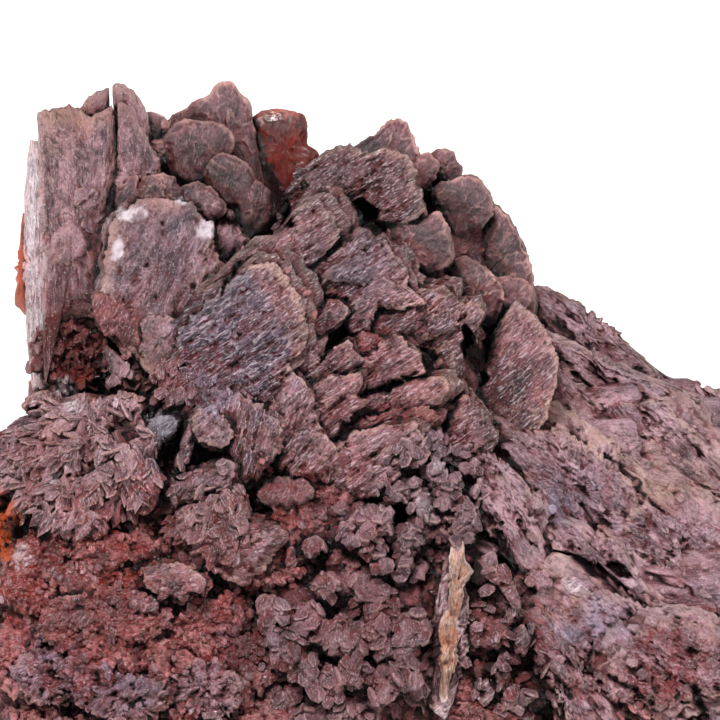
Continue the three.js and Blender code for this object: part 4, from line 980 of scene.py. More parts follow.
def underside(points):
    """Height, in millimetres, of the cut and of the sides that widen from it, at each point."""
    following = np.roll(FOOT_OUTLINE, -1, axis=0)
    outward = np.stack([following[:, 1] - FOOT_OUTLINE[:, 1], FOOT_OUTLINE[:, 0] - following[:, 0]], 1)
    reach = (outward * FOOT_OUTLINE).sum(1)
    widening = ((points[:, :2] / MM) @ outward.T / reach).max(axis=1)
    return np.maximum(widening - 1, 0) / FOOT_SPREAD


def smooth(low, high, value):
    """0 below low, 1 above high, and a smooth rise between them."""
    share = np.clip((value - low) / (high - low), 0, 1)
    return share * share * (3 - 2 * share)


def at_level(spots, level=0):
    """Spots of a plane as points of space, all at one level."""
    return np.column_stack([spots, np.full(len(spots), float(level))])


def along_and_over(spots, degrees):
    """How far spots of a plane lie along a direction, and across it."""
    turn = math.radians(degrees)
    return spots @ [math.cos(turn), math.sin(turn)], spots @ [-math.sin(turn), math.cos(turn)]


def lattice(cells, seed):
    """A repeatable random number from -1 to 1 for each whole-numbered cell."""
    cells = cells.astype(np.int64)
    mixed = cells[..., 0] * 73856093 ^ cells[..., 1] * 19349663 ^ cells[..., 2] * 83492791
    mixed = (mixed ^ (seed * 2654435761)) & 0xFFFFFFFF
    mixed = ((mixed ^ (mixed >> 15)) * 2246822519) & 0xFFFFFFFF
    mixed = ((mixed ^ (mixed >> 13)) * 3266489917) & 0xFFFFFFFF
    return ((mixed ^ (mixed >> 16)) & 0xFFFF) / 32767.5 - 1


def noise(points, seed=0):
    """Smooth noise from -1 to 1 with features one unit across."""
    low = np.floor(points)
    share = points - low
    share = share * share * (3 - 2 * share)
    total = np.zeros(len(points))
    for corner in np.ndindex(2, 2, 2):
        offset = np.array(corner)
        weight = np.prod(np.where(offset, share, 1 - share), axis=1)
        total += weight * lattice(low + offset, seed)
    return total


def layered_noise(points, octaves, seed=0):
    """Noise with finer and fainter octaves added."""
    total = np.zeros(len(points))
    for octave in range(octaves):
        total += noise(points * 2**octave + 17.3 * octave, seed + octave) / 2**octave
    return total


def intergrown(places, seed):
    """Plates grown into each other, one to a cell: height of the topmost at each place, its own
    share from 0 to 1, and how close its border is."""
    base = np.floor(places)
    across = places.shape[1]
    top, below, own = np.full(len(places), -9.0), np.full(len(places), -9.0), np.zeros(len(places))
    for corner in np.ndindex(*(3,) * across):
        cell = base + np.array(corner) - 1
        key = cell if across == 3 else np.column_stack([cell, np.full(len(cell), seed)])
        chances = [lattice(key, seed + salt) for salt in range(2 * across + 1)]
        offset = places - cell - 0.5 - PLATE_STRAY * np.stack(chances[:across], 1)
        lean = (offset * np.stack(chances[across:-1], 1)).sum(1)
        fall = PLATE_FALL * (offset * offset).sum(1) ** 1.5
        height = PLATE_OWN_HEIGHT * chances[-1] + PLATE_LEAN * lean - fall
        higher = height > top
        below = np.where(higher, top, np.maximum(below, height))
        own = np.where(higher, chances[-1], own)
        top = np.where(higher, height, top)
    return top - PLATE_MEAN, (own + 1) / 2, 1 - smooth(0, PLATE_BORDER, top - below)


def plated_relief(along, over, plates, seed):
    """Two sizes of intergrown plates: their height, share and borders."""
    length, width, rise = plates
    place = np.stack([along / length, over / width], 1)
    waves = [noise(at_level(place * PLATE_BEND_WAVES, level), seed) for level in (3, 9)]
    bent = place + PLATE_BEND * np.stack(waves, 1)
    coarse, coarse_share, coarse_border = intergrown(bent, seed)
    fine, fine_share, fine_border = intergrown(bent / FINER_PLATES, seed + 40)
    height = rise * (coarse + FINER_RISE * fine)
    share = COARSE_TINT * coarse_share + FINE_TINT * fine_share
    return height, share, np.maximum(coarse_border, FINE_BORDER * fine_border)


def broken_layers(along, over, layers, seed):
    """Layers broken off in steps: their height, how close a step's edge is, where a highlight is painted,
    and its foot, where shade is painted.
    """
    length, width, drop = layers
    place = np.stack([along / length, over / width, np.full(len(along), seed * 0.37)], 1)
    level = LAYER_LEVELS * layered_noise(place, 4, seed)
    share = level - np.floor(level)
    edge_start, edge_full, edge_end = LAYER_EDGE
    foot_end, foot_start = LAYER_FOOT
    edge = smooth(edge_start, edge_full, share) * (1 - smooth(edge_full, edge_end, share))
    foot = np.maximum(1 - smooth(0, foot_end, share), smooth(foot_start, 1.0, share))
    return drop * (np.floor(level) + smooth(0, LAYER_RISE, share)), edge, foot


def blade_relief(along, over, depth, look, seed):
    """Height of a cleaved gypsum face: shingled ledges, striations, swells and pits."""
    place = np.stack([along, over, depth], 1)
    tile = over / look.ledge_gap + LEDGE_WANDER * noise(place / WANDER_SIZE, seed)
    share = tile - np.floor(tile)
    shingle = smooth(0, LEDGE_STEP, share) - share
    on_tile = np.stack([along, np.floor(tile), depth], 1)
    broken = smooth(-0.25, 0.35, noise(on_tile / BROKEN_SIZE, seed + 3))
    striations = 1 - 2 * np.abs(noise(place / STRIATION_SIZE, seed + 5))
    swell = layered_noise(place / SWELL_SIZE, 3, seed + 9)
    hollows = noise(place / HOLLOW_SIZE, seed + 13)
    chips = noise(place / CHIP_SIZE, seed + 17)
    return (
        look.ledge * shingle * (LEDGE_LEAST + broken)
        + look.stripe * striations
        + SWELL_HEIGHT * look.pit * swell
        - HOLLOW_DEPTH * look.pit * smooth(0.25, 0.75, hollows)
        + CHIP_HEIGHT * look.pit * chips
    )


# --- meshes ------------------------------------------------------------------------------------


@functools.lru_cache(maxsize=None)
def ball(around, rings):
    """A unit ball made by the sphere operator: points, corners of its faces, face sizes."""
    made = bmesh.new()
    bmesh.ops.create_uvsphere(made, u_segments=around, v_segments=rings, radius=1)
    made.verts.ensure_lookup_table()
    points = np.array([vertex.co[:] for vertex in made.verts])
    corners = np.array([vertex.index for face in made.faces for vertex in face.verts])
    sizes = np.array([len(face.verts) for face in made.faces])
    made.free()
    return points, corners, sizes


class Cluster:
    """Many closed crystals gathered into the one mesh of a piece."""

    def __init__(self):
        self.points, self.corners, self.sizes, self.finishes = [], [], [], []
        self.grains, self.tints, self.members, self.rims = [], [], [], []
        self.facets, self.borders = [], []
        self.count, self.crystals = 0, 0

    def add(self, points, corners, sizes, finish, grain, tint, rim, facet, border):
        """Adds one crystal: growth-face points, faces, finish, grain coordinates and masks."""
        self.points.append(points)
        self.corners.append(corners + self.count)
        self.sizes.append(sizes)
        self.finishes.append(np.full(len(sizes), FINISHES.index(finish)))
        self.grains.append(grain)
        self.tints.append(np.full(len(points), tint))
        self.members.append(np.full(len(points), -1))
        self.rims.append(rim)
        self.facets.append(facet)
        self.borders.append(border)
        self.count += len(points)

    def build_next(self, group):
        """The gathered crystals as the next piece of a group; the cluster is then empty again."""
        part = len(pieces_of([group])) + 1
        self.build(group if part == 1 else f"{group}_{part}")
        self.__init__()

    def build(self, name, flat=False):
        """The finished piece, riding on the body and standing for the solid."""
        points = growth_to_world(np.concatenate(self.points))
        points[:, 2] = np.maximum(points[:, 2], (underside(points) + CUT_INSET) * MM)
        corners = np.concatenate(self.corners)
        sizes = np.concatenate(self.sizes)
        mesh = bpy.data.meshes.new(name)
        mesh.vertices.add(len(points))
        mesh.vertices.foreach_set("co", points.astype(np.float32).ravel())
        mesh.loops.add(len(corners))
        mesh.loops.foreach_set("vertex_index", corners.astype(np.int32))
        mesh.polygons.add(len(sizes))
        starts = np.concatenate([[0], np.cumsum(sizes)[:-1]])
        mesh.polygons.foreach_set("loop_start", starts.astype(np.int32))
        dress(mesh, np.concatenate(self.finishes), flat)
        write_vectors(mesh, "grain_space", np.concatenate(self.grains))
        masks = {
            "tint": self.tints, "member": self.members, "rim": self.rims,
            "facet": self.facets, "border": self.borders,
        }
        for mask, values in masks.items():
            write_values(mesh, mask, np.concatenate(values))
        return seat(name, mesh)


def dress(mesh, finishes, flat):
    """Gives a mesh the finishes that its faces use, and smooth or flat shading."""
    used = sorted(set(finishes.tolist()))
    for index in used:
        mesh.materials.append(finish_material(FINISHES[index]))
    slots = np.searchsorted(used, finishes)
    mesh.polygons.foreach_set("material_index", slots.astype(np.int32))
    mesh.polygons.foreach_set("use_smooth", np.full(len(finishes), not flat))
    mesh.update(calc_edges=True)
    mesh.validate()


def seat(name, mesh):
    """Links a finished mesh as a piece that rides on the body and stands for the solid."""
    piece = bpy.data.objects.new(name, mesh)
    bpy.context.scene.collection.objects.link(piece)
    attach(piece, BODY)
    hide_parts(NODE)
    return piece


def write_values(mesh, name, values):
    """Stores one number for each vertex under a name that the finishes read."""
    attribute = mesh.attributes.get(name) or mesh.attributes.new(name, "FLOAT", "POINT")
    attribute.data.foreach_set("value", np.asarray(values, np.float32))


def write_vectors(mesh, name, values):
    """Stores three numbers for each vertex under a name that the finishes read."""
    attribute = mesh.attributes.new(name, "FLOAT_VECTOR", "POINT")
    attribute.data.foreach_set("vector", np.asarray(values, np.float32).ravel())


def vertex_points(mesh, what="co"):
    """The positions or normals of a mesh as an array."""
    values = np.zeros(len(mesh.vertices) * 3, np.float32)
    if what == "co":
        mesh.vertices.foreach_get("co", values)
    else:
        mesh.vertex_normals.foreach_get("vector", values)
    return values.reshape(-1, 3).astype(float)


# --- crystals ----------------------------------------------------------------------------------


def rounded_outline(points, steps=12):
    """A closed smooth curve through an outline's points."""
    previous, following = np.roll(points, 1, axis=0), np.roll(points, -1, axis=0)
    after = np.roll(points, -2, axis=0)
    curve = []
    for share in np.linspace(0, 1, steps, endpoint=False):
        bend = (2 * previous - 5 * points + 4 * following - after) * share**2
        twist = (3 * points - previous - 3 * following + after) * share**3
        curve.append(0.5 * (2 * points + (following - previous) * share + bend + twist))
    return np.stack(curve, 1).reshape(-1, 2)


def straight_outline(points, steps=12):
    """Evenly spread points along a straight-sided outline."""
    following = np.roll(points, -1, axis=0)
    shares = np.linspace(0, 1, steps, endpoint=False)[None, :, None]
    return (points[:, None] * (1 - shares) + following[:, None] * shares).reshape(-1, 2)


def outline_of(points, habit, roundness):
    """A crystal's closed outline, between straight-sided and round, and its middle."""
    corners = np.array(points, float)
    if habit in ("lens", "scale"):
        outline = rounded_outline(corners)
        return outline, outline.mean(axis=0)
    outline = roundness * rounded_outline(corners) + (1 - roundness) * straight_outline(corners)
    return outline, corners.mean(axis=0)


def rim_reach(outline, middle, angles, fray, seed):
    """Distance from the middle to the crystal's ragged rim at each angle."""
    offsets = outline - middle
    turns = np.unwrap(np.arctan2(offsets[:, 1], offsets[:, 0]))
    turns *= np.sign(turns[-1] - turns[0])
    ahead = turns >= np.maximum.accumulate(turns)
    turns = np.arctan2(offsets[ahead, 1], offsets[ahead, 0])
    lengths = np.hypot(*offsets[ahead].T)
    order = np.argsort(turns)
    reach = np.interp(angles, turns[order], lengths[order], period=2 * math.pi)
    rim = middle + reach[:, None] * np.stack([np.cos(angles), np.sin(angles)], 1)
    for feature, height in EDGE_RAGGED:
        ridged = TOOTH_RIDGE - TOOTH_FALL * np.abs(noise(at_level(rim / feature), seed))
        reach = reach + min(height * fray, EDGE_RAGGED_LIMIT * reach.mean()) * ridged
    return reach


def section_rings(habit, thick, radius, spacing):
    """Reach and depth of each ring, from the middle of the face to the middle of the root."""
    dome = thick * FACE_DOMES.get(habit, BLADE_DOME)
    drop = RIM_DROP * min(thick, RIM_DROP_THICKEST)
    face_count = max(4, round(radius * (1 - RIM_INSET) / spacing))
    face = np.linspace(0, 1 - RIM_INSET, face_count + 1)
    rings = [(reach, dome * (1 - (reach / (1 - RIM_INSET)) ** 2)) for reach in face]
    for turn in RIM_TURNS:
        angle = turn * math.pi / 2
        rings.append((1 - RIM_INSET + RIM_INSET * math.sin(angle), -drop * (1 - math.cos(angle))))
    depth = thick if habit in ("tablet", "petal") else ROOT_DEPTH * thick
    back = BACK_REACHES.get(habit, ROOT_TIP)
    side_count = max(4, round(min(depth, DEEPEST_LAYERED) / max(SIDE_LAYER, spacing)))
    for share in np.linspace(0, 1, side_count + 1)[1:]:
        rings.append((1 + (back - 1) * share, -drop - (depth - drop) * share))
    for share in ROOT_SHARES:
        rings.append((back * share, -depth))
    return np.array(rings)


def grown_outline(row, look):
    """A crystal's outline and middle, grown from its free edge back over its neighbours."""
    name, _, _, thick, habit, points = row
    outline, middle = outline_of(points, habit, look.roundness)
    growth = SHINGLED.get(look.piece, NOT_SHINGLED)[1]
    if thick < THINNEST_GROWN or name in NOT_GROWN:
        growth = 1
    free = outline[np.argmax(outline @ OWN_FREE_EDGE.get(name, FREE_EDGE))]
    return free + (outline - free) * growth, free + (middle - free) * growth


def add_crystal(cluster, row, look, finish, spacing, seed):
    """One large crystal, drawn out from a ball to its outline, with its face and layered sides."""
    name, out, slope, thick, habit, _ = row
    rise, _, painted_rim_light = SHINGLED.get(look.piece, NOT_SHINGLED)
    outline, middle = grown_outline(row, look)
    radius = np.hypot(*(outline - middle).T).mean()
    rings = section_rings(habit, thick, radius, spacing)
    around = int(np.clip(2 * math.pi * radius / spacing, *POINTS_AROUND))
    unit, faces, sizes = ball(around, len(rings) - 1)
    ring = np.rint(np.arccos(np.clip(unit[:, 2], -1, 1)) / math.pi * (len(rings) - 1)).astype(int)
    angles = np.arctan2(unit[:, 1], unit[:, 0])
    spokes = np.stack([np.cos(angles), np.sin(angles)], 1)
    reach, depth = rings[ring, 0], rings[ring, 1]
    bands = np.stack([angles * radius / SIDE_LAYER_LENGTH, depth / SIDE_LAYER], 1)
    recess = np.where(depth < -0.3, SIDE_LAYER_RELIEF * noise(at_level(bands, 0.5), seed + 31), 0)
    length = reach * (rim_reach(outline, middle, angles, look.fray, seed) + recess)
    flat = middle + length[:, None] * spokes
    along, over = along_and_over(flat, OWN_GRAIN.get(name, look.grain_degrees))
    front = smooth(-1.2, -0.2, depth)
    relief = blade_relief(along, over, depth * 0.2, look, seed)
    plate_height, facet, border = plated_relief(along, over + 0.5 * depth, look.plates, seed)
    layer_height, edge, foot = broken_layers(along, over, look.layers, seed + 60)
    wavy = reach
    for size, height, salt in RIM_LAYER_WAVES:
        wavy = wavy + height * noise(at_level(flat / size, seed), seed + salt)
    rim_steps = sum(drop * smooth(start, start + 0.025, wavy) for start, drop in RIM_LAYERS)
    lean = (flat - middle) @ (np.array(slope) + rise)
    on_face = relief + plate_height + layer_height - min(1, radius / 4) * rim_steps
    height = out + lean + depth + front * on_face
    height -= crack_depth(flat, True) * front
    grain = np.column_stack([along + 13 * seed, over, depth])
    tint = (lattice(np.array([[seed, 3, 7]]), 5)[0] + 1) / 2
    shingled = painted_rim_light > 0.5
    free_side = smooth(-0.5, 0.5, spokes @ FREE_SIDE) if shingled else np.ones(len(spokes))
    # Painted light and shade: lighter towards the free edge and on the rim on that side, darker in the
    # middle.
    painted_light_and_shade = PAINTED_LIGHT * ((flat - middle) / radius) @ PAINTED_LIGHT_TOWARDS + painted_rim_light * (reach * free_side - 0.62)
    # The rim mask is a painted highlight, fullest on the free side; the pale edges of the broken steps add
    # to it.
    thin = SHINGLED_RIM_START if shingled else RIM_START
    rim = smooth(thin, thin + RIM_START_WIDTH, reach + 0.05 * noise(grain / 0.9, seed + 37))
    rim = rim * smooth(-2.5, -0.6, depth)
    rim = np.maximum(rim * (RIM_LEAST + (1 - RIM_LEAST) * free_side), 0.7 * edge * front)
    # Painted shade along the creases between plates, at the foot of each step and, on shingled crystals,
    # down their sides.
    border = np.maximum(border * 0.8, foot) * front
    if painted_rim_light:
        border = np.maximum(border, smooth(-0.8, -2.4, depth))
    points = np.column_stack([flat, height])
    cluster.add(points, faces, sizes, finish, grain, np.clip(tint + painted_light_and_shade, 0, 1), rim, facet, border)


def ellipse_row(middle, half_width, half_height, turn_degrees, thick=SMALL_LENS_THICK):
    """A small lens crystal's row, with an ellipse for its outline."""
    turn = math.radians(turn_degrees)
    angles = np.linspace(0, 2 * math.pi, 8, endpoint=False)
    local = np.stack([half_width * np.cos(angles), half_height * np.sin(angles)], 1)
    spin = np.array([[math.cos(turn), math.sin(turn)], [-math.sin(turn), math.cos(turn)]])
    points = np.array(middle[:2]) + local @ spin
    return ["small_lens", middle[2], [0, 0], thick, "scale", points]


def reach_in_mass(directions, mass):
    """How far rays from the middle of the matrix run before they leave a rounded mass."""
    middle, half_sizes, turn_degrees = mass
    turn = math.radians(turn_degrees)
    spin = np.array([[math.cos(turn), -math.sin(turn), 0], [math.sin(turn), math.cos(turn), 0], [0, 0, 1]])
    start = ((MATRIX_MIDDLE - np.array(middle)) @ spin) / half_sizes
    step = (directions @ spin) / half_sizes
    a = (step * step).sum(1)
    b = step @ start
    root = b * b - a * (start @ start - 1)
    return np.where(root < 0, 0, (np.sqrt(np.maximum(root, 0)) - b) / a)


def matrix_surface(directions):
    """The matrix's surface points along rays from its middle, roughened as the solid is."""
    reach = np.max([reach_in_mass(directions, mass) for mass in MATRIX_MASSES], axis=0)
    points = MATRIX_MIDDLE + directions * reach[:, None]
    swell = np.zeros(len(points))
    for *wave, phase in MATRIX_WAVES:
        swell += np.sin(points @ wave + phase)
    return points + directions * (MATRIX_ROUGHNESS * swell)[:, None]


# --- small crystals ----------------------------------------------------------------------------


def perpendicular_axes(stand, lie):
    """Right-handed unit axes: along the crystal, across it, and off its flat face."""
    off = stand / np.linalg.norm(stand, axis=1, keepdims=True)
    along = lie - (lie * off).sum(1, keepdims=True) * off
    along /= np.maximum(np.linalg.norm(along, axis=1, keepdims=True), 1e-9)
    return np.stack([along, np.cross(off, along), off], 1)


def add_small_crystals(cluster, centres, axes, halves, finish, chance, shape=SMALL_SHAPE, pointed=0.0):
    """Many small closed plates, each a ball pressed flat and broken to a ragged outline."""
    unit, corners, sizes = ball(*shape)
    ring = np.hypot(unit[:, 0], unit[:, 1])
    pressed = np.where(ring > 0.99, 1, np.where(ring > 0.01, 1.2, 1))
    flat_sides = np.sign(unit[:, 2]) * (np.abs(unit[:, 2]) > 0.2)
    plate = np.column_stack([unit[:, :2] * pressed[:, None], flat_sides])
    count, size = len(centres), len(unit)
    spoke = np.rint(np.arctan2(unit[:, 1], unit[:, 0]) / (2 * math.pi) * shape[0]).astype(int) % shape[0]
    ragged = (SMALL_LEAST_REACH + SMALL_REACH_VARIES * chance.random((count, shape[0])))[:, spoke]
    ragged = ragged * (1 + pointed * np.cos(4 * math.pi * spoke / shape[0]))
    thickness = 1 + SMALL_THICKNESS_VARIES * (chance.random((count, size)) - 0.5)
    flat_ragged = np.stack([ragged, ragged, thickness], 2)
    local = plate[None] * flat_ragged * halves[:, None, :]
    points = np.einsum("nvi,nij->nvj", local, axes) + centres[:, None, :]
    grain = local + 7 * chance.random((count, 1, 3)) * [9, 9, 9]
    tints = np.repeat(chance.random(count), size)
    cluster.points.append(points.reshape(-1, 3))
    cluster.corners.append((corners[None] + size * np.arange(count)[:, None]).ravel() + cluster.count)
    cluster.sizes.append(np.tile(sizes, count))
    cluster.finishes.append(np.full(count * len(sizes), FINISHES.index(finish)))
    cluster.grains.append(grain.reshape(-1, 3))
    cluster.tints.append(tints)
    cluster.facets.append(np.repeat(chance.random(count), size))
    cluster.borders.append(np.zeros(count * size))
    cluster.members.append(np.repeat(cluster.crystals + np.arange(count), size))
    # A painted highlight on each plate's rim.
    cluster.rims.append(np.tile(smooth(0.7, 1.0, ring), count))
    cluster.crystals += count
    cluster.count += count * size


def pieces_of(groups):
    """Names of the finished pieces of some groups, in order."""
    names = [item.name for item in bpy.context.scene.objects if item.type == "MESH"]
    return [name for name in names if name.rstrip("0123456789").rstrip("_") in groups]


def surface_trees(names):
    """Search trees of finished pieces, in the frame."""
    graph = bpy.context.evaluated_depsgraph_get()
    return [BVHTree.FromObject(bpy.data.objects[name], graph) for name in names]


def first_hit(trees, start, direction):
    """The nearest surface point along a ray, its normal and which tree it is on, or None."""
    best = None
    for index, tree in enumerate(trees):
        place, normal, _, distance = tree.ray_cast(start, direction)
        if place is not None and (best is None or distance < best[2]):
            best = (place, normal, distance, index)
    return best


def seats_from_front(trees, allowed, spots):
    """Surface points and normals, on growth axes, below spots (across, up) of the face."""
    starts = growth_to_world(np.column_stack([spots, np.full(len(spots), 60.0)]))
    direction = Vector(-GROWTH_AXES[2])
    hits = [first_hit(trees, Vector(start), direction) for start in starts]
    hits = [hit for hit in hits if hit and hit[3] in allowed]
    places = world_to_growth(np.array([hit[0][:] for hit in hits]).reshape(-1, 3))
    normals = np.array([hit[1][:] for hit in hits]).reshape(-1, 3) @ GROWTH_AXES.T
    return places, normals


def scatter_region(cluster, trees, beds, scatter, seed):
    """Small crystals grown over one oval region of the show face."""
    standing, heading = scatter.standing, scatter.heading
    chance = np.random.default_rng(seed)
    angle = chance.random(scatter.count) * 2 * math.pi
    radius = np.sqrt(chance.random(scatter.count))
    spokes = np.stack([np.cos(angle), np.sin(angle)], 1)
    spots = np.array(scatter.middle) + spokes * radius[:, None] * scatter.half
    allowed = beds if scatter.where == "bed" else range(len(trees))
    places, normals = seats_from_front(trees, allowed, spots)
    count = len(places)
    if not count:
        return
    shortest, longest = scatter.lengths
    length = shortest + (longest - shortest) * chance.random(count) ** SCATTER_LENGTH_POWER
    pointed = LEAF_POINT if isinstance(heading, list) else 0
    if isinstance(heading, list):
        heading = np.degrees(np.arctan2(places[:, 1] - heading[1], places[:, 0] - heading[0]))
    spread = TILE_HEADING_SPREAD if standing < 0 else HEADING_SPREAD
    turn = np.radians(heading + spread * chance.standard_normal(count))
    lie = np.stack([np.cos(turn), np.sin(turn), LIE_VARIES * chance.standard_normal(count)], 1)
    side = np.stack([-np.sin(turn), np.cos(turn), np.zeros(count)], 1)
    lean = abs(standing) * (0.5 + chance.random((count, 1)))
    stand = normals * (1 - 0.55 * lean) + side * lean
    stand = stand + STAND_VARIES * chance.standard_normal((count, 3))
    if standing < 0:
        lie[:, 2] = 0
        stand = normals - lie * lean + TILE_STAND_VARIES * chance.standard_normal((count, 3))
    axes = perpendicular_axes(stand, lie)
    width = length / scatter.slimness
    halves = np.stack([length, width, width * scatter.flatness], 1)
    lift = length * (0.1 + 0.3 * abs(standing) * chance.random(count))
    centres = places + normals * lift[:, None]
    shape = SMALL_SHAPE if longest > SMALLEST_LENGTH else SMALLEST_SHAPE
    add_small_crystals(cluster, centres, axes, halves, scatter.finish, chance, shape, pointed)


# --- finishes ----------------------------------------------------------------------------------


def linear(red, green, blue):
    """A display colour, 0 to 255, as the linear colour that shaders use."""
    shares = [value / 255 for value in (red, green, blue)]
    return tuple(v / 12.92 if v <= 0.04045 else ((v + 0.055) / 1.055) ** 2.4 for v in shares)


def link(tree, source, target):
    """Joins an output socket to an input socket."""
    tree.links.new(source, target)


def new_node(tree, kind, **values):
    """A node of a kind, with its plain settings."""
    node = tree.nodes.new(kind)
    for name, value in values.items():
        setattr(node, name, value)
    return node


def arithmetic(tree, operation, first, second, clamp=False):
    """A two-input sum or product whose inputs are sockets or numbers."""
    node = new_node(tree, "ShaderNodeMath", operation=operation, use_clamp=clamp)
    for socket, value in zip(node.inputs, (first, second)):
        if isinstance(value, (int, float)):
            socket.default_value = value
        else:
            link(tree, value, socket)
    return node.outputs[0]


def weighted_sum(tree, *terms):
    """The sum of several values, each times a share."""
    total = None
    for value, share in terms:
        part = arithmetic(tree, "MULTIPLY", value, share)
        total = part if total is None else arithmetic(tree, "ADD", total, part)
    return total


def ramp(tree, value, low, high, start=0.0, end=1.0):
    """A value brought smoothly from the range low..high to start..end."""
    node = new_node(tree, "ShaderNodeMapRange", interpolation_type="SMOOTHSTEP")
    link(tree, value, node.inputs["Value"])
    for name, number in (("From Min", low), ("From Max", high), ("To Min", start), ("To Max", end)):
        node.inputs[name].default_value = number
    return node.outputs["Result"]


def blend_colours(tree, factor, first, second, mode="MIX"):
    """One colour laid over another by a factor."""
    node = new_node(tree, "ShaderNodeMix", data_type="RGBA", blend_type=mode)
    for socket, value in ((node.inputs[0], factor), (node.inputs[6], first), (node.inputs[7], second)):
        if hasattr(value, "is_linked"):
            link(tree, value, socket)
        else:
            socket.default_value = value
    return node.outputs[2]


def attribute_value(tree, name, output="Fac"):
    """What a named attribute of the piece holds."""
    return new_node(tree, "ShaderNodeAttribute", attribute_name=name).outputs[output]


def stretched_noise(tree, vector, scale, detail, roughness=0.6):
    """Noise whose features are stretched by a scale along each grain direction, per millimetre."""
    mapping = new_node(tree, "ShaderNodeMapping", vector_type="POINT")
    link(tree, vector, mapping.inputs["Vector"])
    mapping.inputs["Scale"].default_value = scale
    noise_node = new_node(tree, "ShaderNodeTexNoise")
    link(tree, mapping.outputs["Vector"], noise_node.inputs["Vector"])
    noise_node.inputs["Scale"].default_value = 1
    noise_node.inputs["Detail"].default_value = detail
    noise_node.inputs["Roughness"].default_value = roughness
    return noise_node.outputs["Fac"]


def grain_group():
    """Fine striations and grains along a crystal: a height for bump and masks for colour, among them pale
    specks with painted glints, painted highlight streaks and painted shade between the lines.
    """
    if "gypsum_grain" in bpy.data.node_groups:
        return bpy.data.node_groups["gypsum_grain"]
    tree = bpy.data.node_groups.new("gypsum_grain", "ShaderNodeTree")
    face = tree.interface
    for name in ("Striations", "Grains"):
        face.new_socket(name, in_out="INPUT", socket_type="NodeSocketFloat")
    for name in ("Height", "Variation", "Speckle", "Streak", "Groove"):
        face.new_socket(name, in_out="OUTPUT", socket_type="NodeSocketFloat")
    inlet, outlet = new_node(tree, "NodeGroupInput"), new_node(tree, "NodeGroupOutput")
    stripes, grains = inlet.outputs["Striations"], inlet.outputs["Grains"]
    place = attribute_value(tree, "grain_space", "Vector")
    long_lines = stretched_noise(tree, place, (0.5, 2.8, 1.6), 3, 0.65)
    fine_lines = stretched_noise(tree, place, (1.6, 6.5, 4.0), 2)
    rough = stretched_noise(tree, place, (2.6, 3.2, 3.0), 5, 0.75)
    glints = stretched_noise(tree, place, (4.2, 6.5, 5.0), 1)
    broad = stretched_noise(tree, place, (0.22, 0.45, 0.5), 3, 0.6)
    lines = weighted_sum(tree, (long_lines, 0.5), (fine_lines, 0.5))
    striped = arithmetic(tree, "MULTIPLY", ramp(tree, lines, 0.3, 0.7), stripes)
    grained = arithmetic(tree, "MULTIPLY", ramp(tree, rough, 0.25, 0.75), grains)
    link(tree, arithmetic(tree, "ADD", striped, grained), outlet.inputs["Height"])
    mixed = weighted_sum(tree, (broad, 0.6), (lines, 0.25), (rough, 0.15))
    link(tree, ramp(tree, mixed, 0.38, 0.62), outlet.inputs["Variation"])
    # Pale specks, partly painted glints.
    rough_specks, bright_specks = ramp(tree, rough, 0.56, 0.7), ramp(tree, glints, 0.64, 0.72)
    specks = arithmetic(tree, "ADD", rough_specks, bright_specks, clamp=True)
    link(tree, arithmetic(tree, "MULTIPLY", specks, grains, clamp=True), outlet.inputs["Speckle"])
    # Painted highlights along the striations.
    highlight_streak = arithmetic(tree, "MULTIPLY", ramp(tree, lines, 0.52, 0.63), stripes)
    link(tree, highlight_streak, outlet.inputs["Streak"])
    # Painted shade between the striations, and dark specks between the grains.
    between_lines = arithmetic(tree, "MULTIPLY", ramp(tree, lines, 0.48, 0.36), stripes)
    between_grains = arithmetic(tree, "MULTIPLY", ramp(tree, rough, 0.45, 0.32, 0.0, 0.75), grains)
    groove_shade = arithmetic(tree, "ADD", between_lines, between_grains, clamp=True)
    link(tree, groove_shade, outlet.inputs["Groove"])
    return tree


